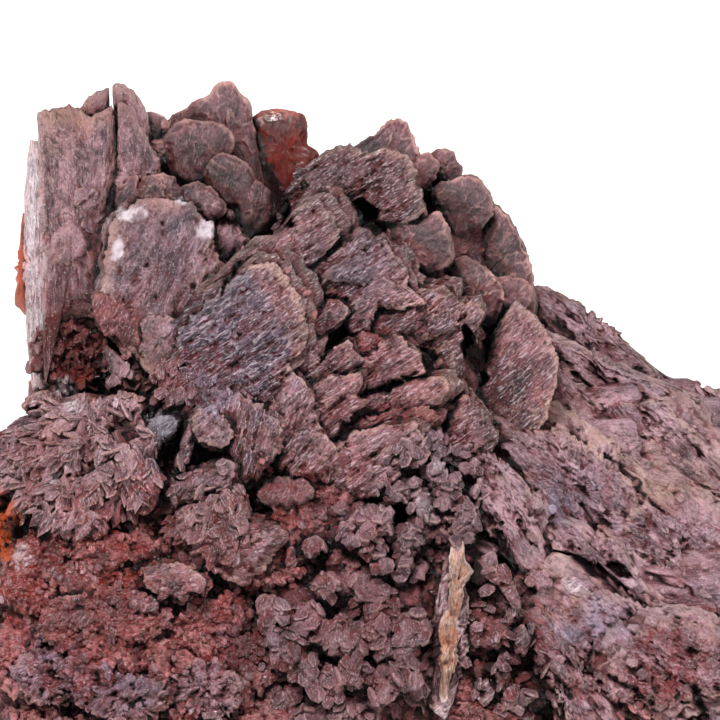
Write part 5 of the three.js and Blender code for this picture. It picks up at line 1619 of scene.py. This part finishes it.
def colour_group():
    """The stone's colour from its light, dark, stained, rim highlight, pale and painted shade colours:
    painted highlights on the rims and in glints and streaks, a painted glow, and painted shade in grooves,
    creases and hollows.
    """
    if "gypsum_colour" in bpy.data.node_groups:
        return bpy.data.node_groups["gypsum_colour"]
    tree = bpy.data.node_groups.new("gypsum_colour", "ShaderNodeTree")
    face = tree.interface
    for name in STONE_COLOURS:
        face.new_socket(name, in_out="INPUT", socket_type="NodeSocketColor")
    for name in ("Variation", "Speckle", "Streak", "Groove", "Mottle"):
        face.new_socket(name, in_out="INPUT", socket_type="NodeSocketFloat")
    face.new_socket("Color", in_out="OUTPUT", socket_type="NodeSocketColor")
    inlet, outlet = new_node(tree, "NodeGroupInput"), new_node(tree, "NodeGroupOutput")
    get = inlet.outputs
    tint, facet = attribute_value(tree, "tint"), attribute_value(tree, "facet")
    uneven = weighted_sum(tree, (facet, 0.38), (get["Variation"], 0.42))
    uneven = arithmetic(tree, "SUBTRACT", uneven, 0.4)
    uneven = arithmetic(tree, "MULTIPLY", uneven, get["Mottle"])
    shade = arithmetic(tree, "ADD", weighted_sum(tree, (tint, 0.36), (uneven, 1)), 0.4)
    colour = blend_colours(tree, ramp(tree, shade, 0.2, 0.95), get["Dark"], get["Light"])
    # Painted highlight on the thin rims.
    edge = arithmetic(tree, "MULTIPLY", attribute_value(tree, "rim"), 0.85)
    colour = blend_colours(tree, edge, colour, get["Edge"])
    thinner = ramp(tree, shade, 0.2, 0.9, 1.15, 0.5)
    # Red stains, and red painted shade in the hollows, thinner on the lighter parts.
    red_stain_and_shade = arithmetic(tree, "MULTIPLY", attribute_value(tree, "redness"), thinner, clamp=True)
    colour = blend_colours(tree, red_stain_and_shade, colour, get["Stain"])
    warmth = attribute_value(tree, "warmth")
    colour = blend_colours(tree, ramp(tree, warmth, 0, 1), colour, TAN_FILTER, "MULTIPLY")
    colour = blend_colours(tree, ramp(tree, warmth, 0, -1), colour, GREY_FILTER, "MULTIPLY")
    # Lighter or darker: random tone, dark flecks in the stains, and painted shade on the lower layers and
    # in some patches.
    brightness = ramp(tree, attribute_value(tree, "shade"), -1, 1, 0.4, 1.6)
    colour = blend_colours(tree, 1.0, colour, brightness, "MULTIPLY")
    # Painted shade in the grooves, along the creases between plates, at the foot of each step and down the
    # sides of shingled crystals.
    sunken = weighted_sum(tree, (get["Groove"], 0.72), (attribute_value(tree, "border"), 0.6))
    colour = blend_colours(tree, arithmetic(tree, "MINIMUM", sunken, 0.85), colour, get["Sunken"])
    # Pale specks with painted glints, and painted highlight streaks.
    specks_and_highlights = weighted_sum(tree, (get["Speckle"], 0.5), (get["Streak"], 0.5))
    colour = blend_colours(tree, specks_and_highlights, colour, get["Pale"])
    colour = blend_colours(tree, attribute_value(tree, "glow"), colour, GLOW_COLOUR)
    # Painted shade: places that see little sky turn towards the painted shade colour, and half-open ones
    # turn redder.
    openness = attribute_value(tree, "openness")
    half_open_red_shade = arithmetic(tree, "MULTIPLY", ramp(tree, openness, 0.6, 0.34), 0.3)
    colour = blend_colours(tree, half_open_red_shade, colour, get["Stain"])
    colour = blend_colours(tree, ramp(tree, openness, 0.1, 0.5), get["Sunken"], colour)
    patchy = ramp(tree, get["Variation"], 0.15, 0.75, 0.2, 1.0)
    white = arithmetic(tree, "MULTIPLY", attribute_value(tree, "paleness"), patchy)
    colour = blend_colours(tree, white, colour, get["Pale"])
    link(tree, colour, outlet.inputs["Color"])
    return tree


TAN_FILTER = (1.0, 0.96, 0.82, 1)
GLOW_COLOUR = (0.8, 0.13, 0.03, 1)
GREY_FILTER = (0.68, 0.94, 1.18, 1)

# Each finish: colours of its light, dark and stained parts, of the painted highlight on its thin
# rims, of its pale parts, which also give the painted glints and streaks, and of the painted shade
# in its sunken parts, roughness of its smooth and its rough parts, striations and grains, from 0 to
# 1, and depth of the bump in mm.
STONE_COLOURS = ("Light", "Dark", "Stain", "Edge", "Pale", "Sunken")
Finish = namedtuple("Finish", [
    "light", "dark", "stain", "edge", "pale", "sunken", "smooth_roughness", "rough_roughness",
    "striations", "grains", "bump",
])
FINISH_LOOKS = {
    "blade": Finish(
        (182, 140, 148), (78, 48, 57), (140, 46, 38), (198, 154, 146), (246, 228, 238), (22, 6, 8),
        0.14, 0.54, 0.8, 0.8, 0.42,
    ),
    "grainy": Finish(
        (190, 147, 155), (76, 47, 55), (138, 48, 38), (196, 154, 150), (246, 230, 238), (26, 8, 10),
        0.16, 0.5, 0.26, 0.85, 0.38,
    ),
    "fan": Finish(
        (170, 119, 124), (46, 23, 34), (140, 36, 26), (208, 164, 154), (242, 220, 232), (12, 3, 5),
        0.14, 0.5, 1.0, 0.6, 0.42,
    ),
    "rose_blade": Finish(
        (218, 174, 186), (84, 48, 60), (160, 52, 46), (216, 176, 172), (252, 238, 244), (28, 7, 10),
        0.15, 0.54, 0.4, 1.0, 0.58,
    ),
    "red_blade": Finish(
        (172, 116, 120), (86, 40, 46), (148, 40, 31), (180, 116, 108), (236, 204, 210), (27, 6, 8),
        0.2, 0.56, 0.7, 0.9, 0.38,
    ),
    "lens": Finish(
        (118, 77, 83), (18, 7, 12), (106, 26, 19), (184, 138, 131), (202, 170, 178), (7, 2, 4),
        0.36, 0.58, 0.24, 0.36, 0.18,
    ),
    "red_crystal": Finish(
        (116, 58, 52), (24, 4, 4), (132, 25, 11), (146, 80, 68), (180, 128, 118), (8, 2, 2),
        0.42, 0.58, 0.14, 0.12, 0.1,
    ),
    "pale_edge": Finish(
        (196, 172, 180), (140, 112, 122), (166, 96, 92), (204, 174, 172), (242, 230, 236), (60, 28, 32),
        0.24, 0.56, 1.0, 0.3, 0.3,
    ),
    "honey": Finish(
        (206, 164, 144), (146, 94, 70), (176, 96, 54), (222, 196, 190), (238, 222, 214), (80, 34, 22),
        0.2, 0.48, 0.4, 0.7, 0.3,
    ),
    "druse": Finish(
        (158, 120, 128), (68, 40, 48), (128, 42, 38), (194, 152, 150), (240, 222, 230), (17, 5, 7),
        0.1, 0.42, 0.4, 0.8, 0.34,
    ),
    "red_grain": Finish(
        (238, 152, 154), (60, 13, 11), (152, 32, 15), (224, 156, 154), (252, 226, 230), (22, 3, 2),
        0.12, 0.5, 0.4, 1.0, 0.6,
    ),
    "matrix": Finish(
        (184, 118, 122), (74, 28, 30), (136, 34, 24), (172, 112, 110), (234, 202, 206), (26, 5, 6),
        0.26, 0.62, 0.4, 1.0, 0.46,
    ),
    "clear": Finish(
        (116, 106, 114), (70, 60, 68), (120, 76, 72), (150, 138, 146), (190, 182, 192), (36, 26, 30),
        0.08, 0.28, 0.5, 0.2, 0.24,
    ),
}
FINISHES = list(FINISH_LOOKS)
CLEAR_TRANSMISSION = 0.5
CLEAR_ABSORPTION = 120
CLEAR_COLOUR = (200, 180, 186)
GYPSUM_IOR = 1.52
LEAST_MOTTLE = 0.35
FACET_GLOSS = 0.26


def finish_material(name):
    """The material of a finish, made once and shared by every piece that uses it."""
    full_name = "gypsum_" + name
    if full_name in bpy.data.materials:
        return bpy.data.materials[full_name]
    look = FINISH_LOOKS[name]
    material = bpy.data.materials.new(full_name)
    material.use_nodes = True
    tree = material.node_tree
    tree.nodes.clear()
    shader = new_node(tree, "ShaderNodeBsdfPrincipled")
    output = new_node(tree, "ShaderNodeOutputMaterial")
    link(tree, shader.outputs["BSDF"], output.inputs["Surface"])
    grain = new_node(tree, "ShaderNodeGroup", node_tree=grain_group())
    grain.inputs["Striations"].default_value = look.striations
    grain.inputs["Grains"].default_value = look.grains
    colour = new_node(tree, "ShaderNodeGroup", node_tree=colour_group())
    colour.inputs["Mottle"].default_value = LEAST_MOTTLE + (1 - LEAST_MOTTLE) * look.grains
    for socket, value in zip(STONE_COLOURS, look):
        filtered = settings().stain_tint if socket in ("Stain", "Sunken") else settings().stone_tint
        colour.inputs[socket].default_value = (*np.array(linear(*value)) * np.array(filtered), 1)
    for mask in ("Variation", "Speckle", "Streak", "Groove"):
        link(tree, grain.outputs[mask], colour.inputs[mask])
    link(tree, colour.outputs["Color"], shader.inputs["Base Color"])
    rough, smoothest = look.rough_roughness, look.smooth_roughness
    dull = ramp(tree, grain.outputs["Variation"], 0.1, 0.9, rough, smoothest)
    glossy = ramp(tree, attribute_value(tree, "facet"), 0.55, 0.95, 0, FACET_GLOSS)
    link(tree, arithmetic(tree, "SUBTRACT", dull, glossy, clamp=True), shader.inputs["Roughness"])
    bump = new_node(tree, "ShaderNodeBump")
    bump.inputs["Distance"].default_value = look.bump * MM
    bump.inputs["Strength"].default_value = 1
    link(tree, grain.outputs["Height"], bump.inputs["Height"])
    link(tree, bump.outputs["Normal"], shader.inputs["Normal"])
    shader.inputs["IOR"].default_value = GYPSUM_IOR
    if name == "clear":
        shader.inputs["Transmission Weight"].default_value = CLEAR_TRANSMISSION
        absorbing = new_node(tree, "ShaderNodeVolumeAbsorption")
        absorbing.inputs["Color"].default_value = (*linear(*CLEAR_COLOUR), 1)
        absorbing.inputs["Density"].default_value = CLEAR_ABSORPTION
        link(tree, absorbing.outputs["Volume"], output.inputs["Volume"])
    return material


# --- masks -------------------------------------------------------------------------------------


def sphere_directions(count):
    """Directions spread evenly over a sphere."""
    index = np.arange(count) + 0.5
    height = 1 - 2 * index / count
    turn = GOLDEN_ANGLE * index
    ring = np.sqrt(1 - height**2)
    return np.stack([ring * np.cos(turn), ring * np.sin(turn), height], 1)


def measure_openness(points, normals):
    """How much of the sky above each point's surface is free, from 0 to 1."""
    seen, total = np.zeros(len(points)), np.full(len(points), 1e-6)
    for direction in sphere_directions(OPEN_DIRECTIONS):
        if direction[2] < OPEN_LOWEST:
            continue
        side = np.cross(direction, [0.31, 0.59, 0.74])
        side /= np.linalg.norm(side)
        plane = points @ np.stack([side, np.cross(direction, side)], 1)
        cells = np.floor((plane - plane.min(0)) / OPEN_CELL).astype(np.int64)
        width = cells[:, 1].max() + 1
        flat = cells[:, 0] * width + cells[:, 1]
        depth = points @ direction
        nearest = np.full(flat.max() + 1, -1e9)
        np.maximum.at(nearest, flat, depth)
        weight = np.maximum(normals @ direction, 0) + OPEN_GRAZING
        seen += weight * (depth > nearest[flat] - OPEN_BIAS)
        total += weight
    return seen / total


def by_crystal(mesh, openness):
    """Openness evened out within each small crystal, so that the painted shade of its buried half doesn't
    darken it.
    """
    members = np.zeros(len(mesh.vertices), np.float32)
    if "member" not in mesh.attributes:
        return openness
    mesh.attributes["member"].data.foreach_get("value", members)
    index = members.astype(int)
    small = index >= 0
    if not small.any():
        return openness
    highest = np.zeros(index.max() + 1)
    np.maximum.at(highest, index[small], openness[small])
    evened = openness.copy()
    evened[small] = OPEN_OWN * openness[small] + OPEN_HIGHEST * highest[index[small]]
    return evened


def soft_spots(spots, patches):
    """Strength of soft oval patches, with ragged borders, at spots of the show face."""
    strength = np.zeros(len(spots))
    flat = at_level(spots)
    ragged = 0.28 * layered_noise(flat / 1.6, 3, 41) + 0.24 * layered_noise(flat / 0.55, 2, 47)
    for middle, half, amount in patches:
        distance = np.hypot(*((spots - middle) / half).T) + ragged
        strength = np.maximum(strength, amount * (1 - smooth(0.7, 1.15, distance)))
    return strength


def crack_depth(spots, as_depth=False):
    """How sunken the spots in the cracks and hollows are, from 0 to 1 or in millimetres."""
    sunk = np.zeros(len(spots))
    flat = at_level(spots / 1.3)
    ragged = spots + 0.5 * np.stack([noise(flat, 51), noise(flat, 52)], 1)
    for *ends, half, depth in CRACKS:
        start = np.array(ends[:2])
        run = np.array(ends[2:]) - start
        share = np.clip((ragged - start) @ run / (run @ run), 0, 1)
        distance = np.hypot(*(ragged - start - share[:, None] * run).T)
        half = half * np.sin(math.pi * np.clip(share, 0.15, 0.85)) ** 0.7
        sunk = np.maximum(sunk, (depth if as_depth else 1) * (1 - smooth(0.4, 1.0, distance / half)))
    return sunk


def added_spots(spots, patches):
    """The sum of soft oval patches that may add or take away."""
    total = np.zeros(len(spots))
    ragged = 0.3 * layered_noise(at_level(spots / 2.2), 3, 43)
    for middle, half, amount in patches:
        distance = np.hypot(*((spots - middle) / half).T) + ragged
        total += amount * (1 - smooth(0.55, 1.35, distance))
    return np.clip(total, -1, 1)


# --- operators ---------------------------------------------------------------------------------


class GypsumSettings(PropertyGroup):
    """Sizes and colours that a user would change."""

    fineness: FloatProperty(
        name="Point spacing", description="Distance between points on the large crystals",
        default=POINT_SPACING * MM, min=0.0002, max=0.002, subtype="DISTANCE", unit="LENGTH",
    )
    scatter: FloatProperty(
        name="Scatter", description="Share of the small crystals that are grown",
        default=1.0, min=0.05, max=1, subtype="FACTOR",
    )
    stone_tint: FloatVectorProperty(
        name="Stone tint", description="Colour that filters the light and dark parts of the stone",
        default=(1, 1, 1), size=3, min=0, max=1, subtype="COLOR",
    )
    # The stain tint also filters the painted shade colour.
    stain_tint: FloatVectorProperty(
        name="Stain tint", description="Colour that filters the red stains and the hollows",
        default=(1, 1, 1), size=3, min=0, max=1, subtype="COLOR",
    )
    floor_colour: FloatVectorProperty(
        name="Floor", description="Colour of the floor", default=linear(250, 249, 248),
        size=3, min=0, max=1, subtype="COLOR",
    )
    key_strength: FloatProperty(
        name="Key light", description="Strength of the key light",
        default=5.3, min=0, max=20, subtype="FACTOR",
    )
    sky_light: FloatProperty(
        name="Surrounding light", description="Brightness of the even light from all round",
        default=0.22, min=0, max=5, subtype="FACTOR",
    )


def settings():
    """The scene's gypsum settings."""
    return bpy.context.scene.red_gypsum


class GYPSUM_OT_matrix(Operator):
    """Grow the rough rounded matrix that the crystals stand on"""

    bl_idname = "gypsum.matrix"
    bl_label = "Matrix"

    def execute(self, context):
        made = bmesh.new()
        bmesh.ops.create_icosphere(made, subdivisions=MATRIX_SUBDIVISIONS, radius=1)
        front = []
        for edge in made.edges:
            if all(corner.co.z > MATRIX_FINE_FRONT for corner in edge.verts):
                front.append(edge)
        bmesh.ops.subdivide_edges(made, edges=front, cuts=1, use_grid_fill=True)
        bmesh.ops.triangulate(made, faces=[face for face in made.faces if len(face.verts) > 4])
        mesh = bpy.data.meshes.new("matrix")
        made.to_mesh(mesh)
        made.free()
        directions = vertex_points(mesh)
        directions /= np.linalg.norm(directions, axis=1, keepdims=True)
        points = matrix_surface(directions)
        lumps = np.zeros(len(points))
        for index, (feature, height) in enumerate(MATRIX_GRAIN):
            lumps += height * noise(points / feature, 60 + index)
        grain = points.copy()
        bladed = points[:, 0] > SLOPE_ACROSS
        along, over = along_and_over(points[:, :2], SLOPE_GRAIN)
        grain[bladed, 0] = along[bladed] / MATRIX_BLADE_SPREAD
        grain[bladed, 1] = over[bladed]
        facet, border = np.zeros(len(points)), np.zeros(len(points))
        # The borders between plates are painted as shade along the creases.
        for index, (size, rise) in enumerate(MATRIX_PLATES):
            height, share, close = intergrown(grain / size, 80 + 20 * index)
            lumps += rise * height
            facet += 0.5 * share
            border = np.maximum(border, close * (1 - 0.4 * index))
        on_slope = smooth(12, 20, points[:, 1]) - smooth(40, 46, points[:, 1])
        lift = MATRIX_SLOPE_LIFT * smooth(56, 64, points[:, 0]) * on_slope
        lift -= MATRIX_HUMP_DROP * soft_spots(points[:, :2], MATRIX_HUMPS)
        points = points + directions * (lumps - MATRIX_SINK + lift)[:, None]
        placed = growth_to_world(points)
        placed[:, 2] = np.maximum(placed[:, 2], underside(placed) * MM)
        mesh.vertices.foreach_set("co", placed.astype(np.float32).ravel())
        corners = np.zeros(len(mesh.polygons) * 3)
        mesh.polygons.foreach_get("center", corners)
        middles = world_to_growth(corners.reshape(-1, 3))
        rosy = (middles[:, 0] > ROSY_ACROSS) & (middles[:, 1] > ROSY_UP)
        dress(mesh, np.where(rosy, FINISHES.index("rose_blade"), FINISHES.index("matrix")), False)
        write_vectors(mesh, "grain_space", points)
        write_values(mesh, "tint", 0.5 + 0.5 * noise(points / 3, 71))
        write_values(mesh, "rim", np.zeros(len(points)))
        write_values(mesh, "facet", facet)
        write_values(mesh, "border", border)
        seat("matrix", mesh)
        return {"FINISHED"}


class GYPSUM_OT_crystals(Operator):
    """Grow the large blades, tablets, petals and lenses"""

    bl_idname = "gypsum.crystals"
    bl_label = "Large crystals"

    def execute(self, context):
        spacing = settings().fineness / MM
        seed = CRYSTALS_SEED
        for look in CRYSTAL_LOOKS:
            layers = [(1, 0, look.piece)]
            for piece, growth, back in UNDER_LAYERS:
                if piece == look.piece:
                    layers.append((growth, back, piece + LOWER))
            clusters = {}
            for growth, back, piece in layers:
                lower = growth > 1
                wider = COARSER_LOWER.get(look.piece, LOWER_SPACING) if lower else COARSER.get(piece, 1)
                for row in look.rows:
                    seed += 1
                    if lower and row[0] in NO_UNDER_LAYER:
                        continue
                    finish = OWN_FINISH.get(row[0], GROUP_FINISH[look.piece])
                    row = lower_layer(row, growth, back) if lower else row
                    cluster = open_cluster(clusters, piece)
                    add_crystal(cluster, row, look, finish, spacing * wider, seed)
            for piece, cluster in clusters.items():
                cluster.build_next(piece)
        lenses = [(SMALL_LENS_LOOK, row, small_lens_finish(row[0])) for row in SMALL_LENSES]
        lenses += [(LUMP_LOOKS[row[4]], row, row[4]) for row in LUMPS]
        clusters = {}
        for look, row, finish in lenses:
            seed += 1
            thick = SMALL_LENS_THICK if look is SMALL_LENS_LOOK else LUMP_THICK
            row = ellipse_row(*row[:4], thick)
            cluster = open_cluster(clusters, look.piece)
            add_crystal(cluster, row, look, finish, spacing * COARSER.get(look.piece, 1), seed)
        for piece, cluster in clusters.items():
            cluster.build_next(piece)
        return {"FINISHED"}


def open_cluster(clusters, piece):
    """The cluster that a piece's next crystal goes into; a full one is built first."""
    cluster = clusters.setdefault(piece, Cluster())
    if cluster.count > PIECE_POINTS:
        cluster.build_next(piece)
    return cluster


def lower_layer(row, growth, back):
    """A crystal's row, grown about its middle and set further back."""
    name, out, slope, thick, habit, points = row
    corners = np.array(points, float)
    middle = corners.mean(axis=0)
    return [name, out - back, slope, thick, habit, middle + (corners - middle) * growth]


def small_lens_finish(middle):
    """The finish of a small lens by where on the face it grows."""
    across, up, _ = middle
    if across > DRUSE_ACROSS and up < DRUSE_TOP:
        return "druse"
    return "blade" if up > RED_TOP else "red_blade"


class GYPSUM_OT_scales(Operator):
    """Grow the small scales, grains and druse over the matrix and between the crystals"""

    bl_idname = "gypsum.scales"
    bl_label = "Small crystals"

    def execute(self, context):
        looks = [*CRYSTAL_LOOKS, SMALL_LENS_LOOK, *LUMP_LOOKS.values()]
        groups = ["matrix"] + [look.piece for look in looks]
        names = pieces_of(groups + [group + LOWER for group in groups])
        trees = surface_trees(names)
        beds = [index for index, name in enumerate(names) if is_bed(name)]
        for index, scatter in enumerate(SCATTERS):
            cluster = Cluster()
            scatter = scatter._replace(count=int(scatter.count * settings().scatter))
            scatter_region(cluster, trees, beds, scatter, SCATTER_SEED + index)
            if cluster.points:
                cluster.build(scatter.piece, flat=True)
        return {"FINISHED"}


def is_bed(name):
    """Whether a piece is one that the crystals stand on."""
    return name == "matrix" or LOWER in name or "red_lumps" in name


class GYPSUM_OT_hidden_sides(Operator):
    """Grow the lens crystals and chips of the back, the sides and the top"""

    bl_idname = "gypsum.hidden_sides"
    bl_label = "Back and sides"

    def execute(self, context):
        cluster = Cluster()
        chance = np.random.default_rng(HIDDEN_SIDE_SEED)
        for index in range(BACK_LENS_COUNT):
            add_back_lens(cluster, index)
        cluster.build("back_lenses")
        hidden = ["matrix", "back_lenses"]
        trees = surface_trees(hidden + pieces_of([look.piece for look in CRYSTAL_LOOKS]))
        directions = sphere_directions(HIDDEN_SIDE_CHIPS)
        directions = directions[directions @ GROWTH_AXES[2] < HIDDEN_SIDE_FOREMOST]
        centre = growth_to_world(MATRIX_MIDDLE)
        places, normals = [], []
        for direction in directions + HIDDEN_SIDE_STRAY * chance.standard_normal(directions.shape):
            start = Vector(centre + direction * HIDDEN_SIDE_DISTANCE)
            hit = first_hit(trees, start, Vector(-direction).normalized())
            behind = hit and world_to_growth(np.array(hit[0]))[2] < CHIPS_BEHIND
            if behind and hit[3] < len(hidden) and hit[0][2] > CHIPS_ABOVE_CUT * MM:
                places.append(hit[0][:])
                normals.append(hit[1][:])
        places, normals = world_to_growth(np.array(places)), np.array(normals) @ GROWTH_AXES.T
        count = len(places)
        shortest, longest = HIDDEN_SIDE_LENGTHS
        length = shortest + (longest - shortest) * chance.random(count) ** HIDDEN_SIDE_LENGTH_POWER
        stand = normals * HIDDEN_SIDE_KEEPS
        stand = stand + HIDDEN_SIDE_VARIES * chance.standard_normal((count, 3))
        axes = perpendicular_axes(stand, chance.standard_normal((count, 3)))
        halves = length[:, None] * HIDDEN_SIDE_SHARES
        centres = places + normals * (length * HIDDEN_SIDE_LIFT)[:, None]
        cluster = Cluster()
        add_small_crystals(cluster, centres, axes, halves, "matrix", chance)
        cluster.build("back_chips", flat=True)
        return {"FINISHED"}


def add_back_lens(cluster, index):
    """One large lens crystal that grows out of the back or a side."""
    away = BACK_LENS_FIRST + (1 - BACK_LENS_FIRST) * (index + 0.5) / BACK_LENS_COUNT
    ring, turn = math.sqrt(1 - away**2), index * GOLDEN_ANGLE
    direction = np.array([ring * math.cos(turn), ring * math.sin(turn), -away])
    smallest, largest = BACK_LENS_HALF
    half = smallest + (largest - smallest) * ((index * GOLDEN_RATIO) % 1)
    unit, corners, sizes = ball(*BACK_LENS_SHAPE)
    local = unit[:, [0, 2, 1]] * [half, half * BACK_LENS_FLATNESS, -half * BACK_LENS_HEIGHT]
    rim = 1 - np.abs(unit[:, 2])
    layers = BACK_LENS_LAYER_HEIGHT * rim * noise(local / BACK_LENS_LAYER_SIZE, 300 + index)
    swell = layers + BACK_LENS_SWELL_HEIGHT * layered_noise(local / BACK_LENS_SWELL_SIZE, 3, 340 + index)
    local = local + unit[:, [0, 2, 1]] * [1, 1, -1] * (swell - BACK_LENS_INSET)[:, None]
    lie = Vector(direction) + Vector((0, BACK_LENS_RISE, 0))
    facing = Vector((0, 1, 0)).rotation_difference(lie.normalized()).to_matrix()
    surface = matrix_surface(direction[None])[0]
    place = surface - BACK_LENS_SINK * direction + BACK_LENS_MOVES.get(index, [0, 0, 0])
    points = local @ np.array(facing).T + place
    tint = (index * GOLDEN_RATIO * 1.7) % 1
    _, facet, border = plated_relief(local[:, 2], local[:, 0], BACK_LENS_PLATES, 380 + index)
    grain = local[:, [0, 2, 1]] + 11 * index
    # A painted highlight on the lens's thin rim.
    rim = smooth(0.6, 1.0, rim)
    cluster.add(points, corners, sizes, "rose_blade", grain, tint, rim, facet, border)


class GYPSUM_OT_stains_and_shade(Operator):
    """Measure how open each place is and lay the red stains, the pale patches, the painted glow and the
    painted shade of hollows, cracks and lower layers
    """

    bl_idname = "gypsum.weathering"
    bl_label = "Stains and hollows"

    def execute(self, context):
        meshes = [item for item in context.scene.objects if item.type == "MESH"]
        pieces = [item for item in meshes if "tint" in item.data.attributes]
        points = [vertex_points(piece.data) / MM for piece in pieces]
        normals = [vertex_points(piece.data, "normal") for piece in pieces]
        openness = measure_openness(np.concatenate(points), np.concatenate(normals))
        start = 0
        for piece, places in zip(pieces, points):
            face = world_to_growth(places * MM)
            share = by_crystal(piece.data, openness[start:start + len(places)])
            start += len(places)
            front = smooth(-16, -4, face[:, 2])
            # Cracks and hollows are painted darker as shade, by lowering their openness.
            share = share * (1 - 0.85 * front * crack_depth(face[:, :2]))
            red = soft_spots(face[:, :2], RED_STAINS) * front
            red = red * (0.5 + 0.5 * smooth(-0.5, 0.4, layered_noise(face / 3.4, 3, 99)))
            # Hollows that see little sky are painted redder, as shade.
            deep = 1 - smooth(0.12, 0.6, share)
            blotches = 0.34 * smooth(0.1, 0.6, layered_noise(face / 4.5, 3, 77))
            write_values(piece.data, "openness", share)
            write_values(piece.data, "redness", np.clip(np.maximum(red, blotches) + 0.3 * deep, 0, 1))
            # Painted shade: the lower layers in the gaps are darker, and so are the darker shade patches.
            lowered = LOWER_SHADE if LOWER in piece.name and "slope" not in piece.name else 0
            lowered += SHADE_DRIFT * layered_noise(face / 2.6, 3, 95)
            lowered -= RED_DARKS * red * smooth(0.1, 0.8, layered_noise(face / 1.7, 3, 97))
            write_values(piece.data, "shade", lowered + front * added_spots(face[:, :2], SHADE_PATCHES))
            ahead = np.where(face[:, 1] < 40, smooth(-2, 2, face[:, 2]), 1)
            write_values(piece.data, "glow", 0.85 * ahead * soft_spots(face[:, :2], GLOWS))
            warmth = HUE_DRIFT * layered_noise(face / 5, 3, 91)
            warmth += front * added_spots(face[:, :2], WARMTH_PATCHES)
            write_values(piece.data, "warmth", np.clip(warmth, -1, 1))
            pale = soft_spots(face[:, :2], PALE_PATCHES) * front * smooth(0.05, 0.25, share)
            write_values(piece.data, "paleness", pale)
        return {"FINISHED"}


class GYPSUM_OT_stage(Operator):
    """Set up the pale floor, the soft studio light and the camera"""

    bl_idname = "gypsum.stage"
    bl_label = "Stage"

    def execute(self, context):
        scene = context.scene
        made = bmesh.new()
        bmesh.ops.create_grid(made, x_segments=1, y_segments=1, size=FLOOR_HALF)
        bmesh.ops.translate(made, verts=made.verts, vec=(0, 0, -FLOOR_DROP))
        mesh = bpy.data.meshes.new("floor")
        made.to_mesh(mesh)
        made.free()
        mesh.materials.append(floor_material())
        floor = bpy.data.objects.new("floor", mesh)
        scene.collection.objects.link(floor)
        world = bpy.data.worlds.new("soft_studio")
        scene.world = world
        world.use_nodes = True
        background = world.node_tree.nodes["Background"]
        background.inputs["Color"].default_value = (1, 1, 1, 1)
        background.inputs["Strength"].default_value = settings().sky_light
        strength = settings().key_strength
        add_sun("key", KEY_TOWARDS, KEY_SPREAD, strength)
        add_sun("fill", FILL_TOWARDS, FILL_SPREAD, strength * FILL_SHARE)
        camera_data = bpy.data.cameras.new("camera")
        camera_data.sensor_width = CAMERA_SENSOR
        camera_data.lens = CAMERA_SENSOR * CAMERA_DISTANCE / (VIEW_WIDTH * MM)
        camera_data.clip_end = CAMERA_FAR
        camera = bpy.data.objects.new("camera", camera_data)
        scene.collection.objects.link(camera)
        target = growth_to_world(VIEW_MIDDLE)
        turned = Matrix(GROWTH_AXES.tolist()).transposed().to_4x4()
        camera.matrix_world = Matrix.Translation(target + GROWTH_AXES[2] * CAMERA_DISTANCE) @ turned
        scene.camera = camera
        scene.view_settings.view_transform = "Standard"
        scene.view_settings.look = "None"
        return {"FINISHED"}


def floor_material():
    """Plain pale paper, very slightly uneven."""
    material = bpy.data.materials.new("pale_floor")
    material.use_nodes = True
    tree = material.node_tree
    shader = tree.nodes["Principled BSDF"]
    place = new_node(tree, "ShaderNodeTexCoord").outputs["Object"]
    mottle = new_node(tree, "ShaderNodeTexNoise")
    link(tree, place, mottle.inputs["Vector"])
    mottle.inputs["Scale"].default_value = FLOOR_MOTTLE_SCALE
    pale = (*settings().floor_colour, 1)
    soft = (*[value * FLOOR_MOTTLE_DARKEST for value in settings().floor_colour], 1)
    link(tree, blend_colours(tree, mottle.outputs["Fac"], pale, soft), shader.inputs["Base Color"])
    shader.inputs["Roughness"].default_value = FLOOR_ROUGHNESS
    return material


def add_sun(name, towards, spread_degrees, strength):
    """Soft light from one side, as from a large screen far off."""
    data = bpy.data.lights.new(name, "SUN")
    data.angle = math.radians(spread_degrees)
    data.energy = strength
    light = bpy.data.objects.new(name, data)
    bpy.context.scene.collection.objects.link(light)
    aim = -Vector(towards)
    light.matrix_world = Matrix.Translation(towards) @ aim.to_track_quat("-Z", "Y").to_matrix().to_4x4()


class GYPSUM_PT_panel(Panel):
    """Lists the steps that build the specimen"""

    bl_idname = "GYPSUM_PT_panel"
    bl_label = "Gypsum specimen"
    bl_space_type = "VIEW_3D"
    bl_region_type = "UI"
    bl_category = "Gypsum"

    def draw(self, context):
        for name in GypsumSettings.__annotations__:
            self.layout.prop(context.scene.red_gypsum, name)
        for step in STEPS:
            self.layout.operator(step.bl_idname)


STEPS = [
    GYPSUM_OT_matrix,
    GYPSUM_OT_crystals,
    GYPSUM_OT_hidden_sides,
    GYPSUM_OT_scales,
    GYPSUM_OT_stains_and_shade,
    GYPSUM_OT_stage,
]
CLASSES = [GypsumSettings, *STEPS, GYPSUM_PT_panel]


def register():
    """Makes the operators, the settings and the panel known to Blender."""
    for item in CLASSES:
        bpy.utils.register_class(item)
    bpy.types.Scene.red_gypsum = PointerProperty(type=GypsumSettings)


def unregister():
    """Removes what register added."""
    del bpy.types.Scene.red_gypsum
    for item in reversed(CLASSES):
        bpy.utils.unregister_class(item)


def main():
    """Builds the specimen and its stage."""
    register()
    bpy.ops.gypsum.matrix()
    bpy.ops.gypsum.crystals()
    bpy.ops.gypsum.hidden_sides()
    bpy.ops.gypsum.scales()
    bpy.ops.gypsum.weathering()
    bpy.ops.gypsum.stage()
    bpy.context.view_layer.update()


if __name__ == "__main__":
    main()
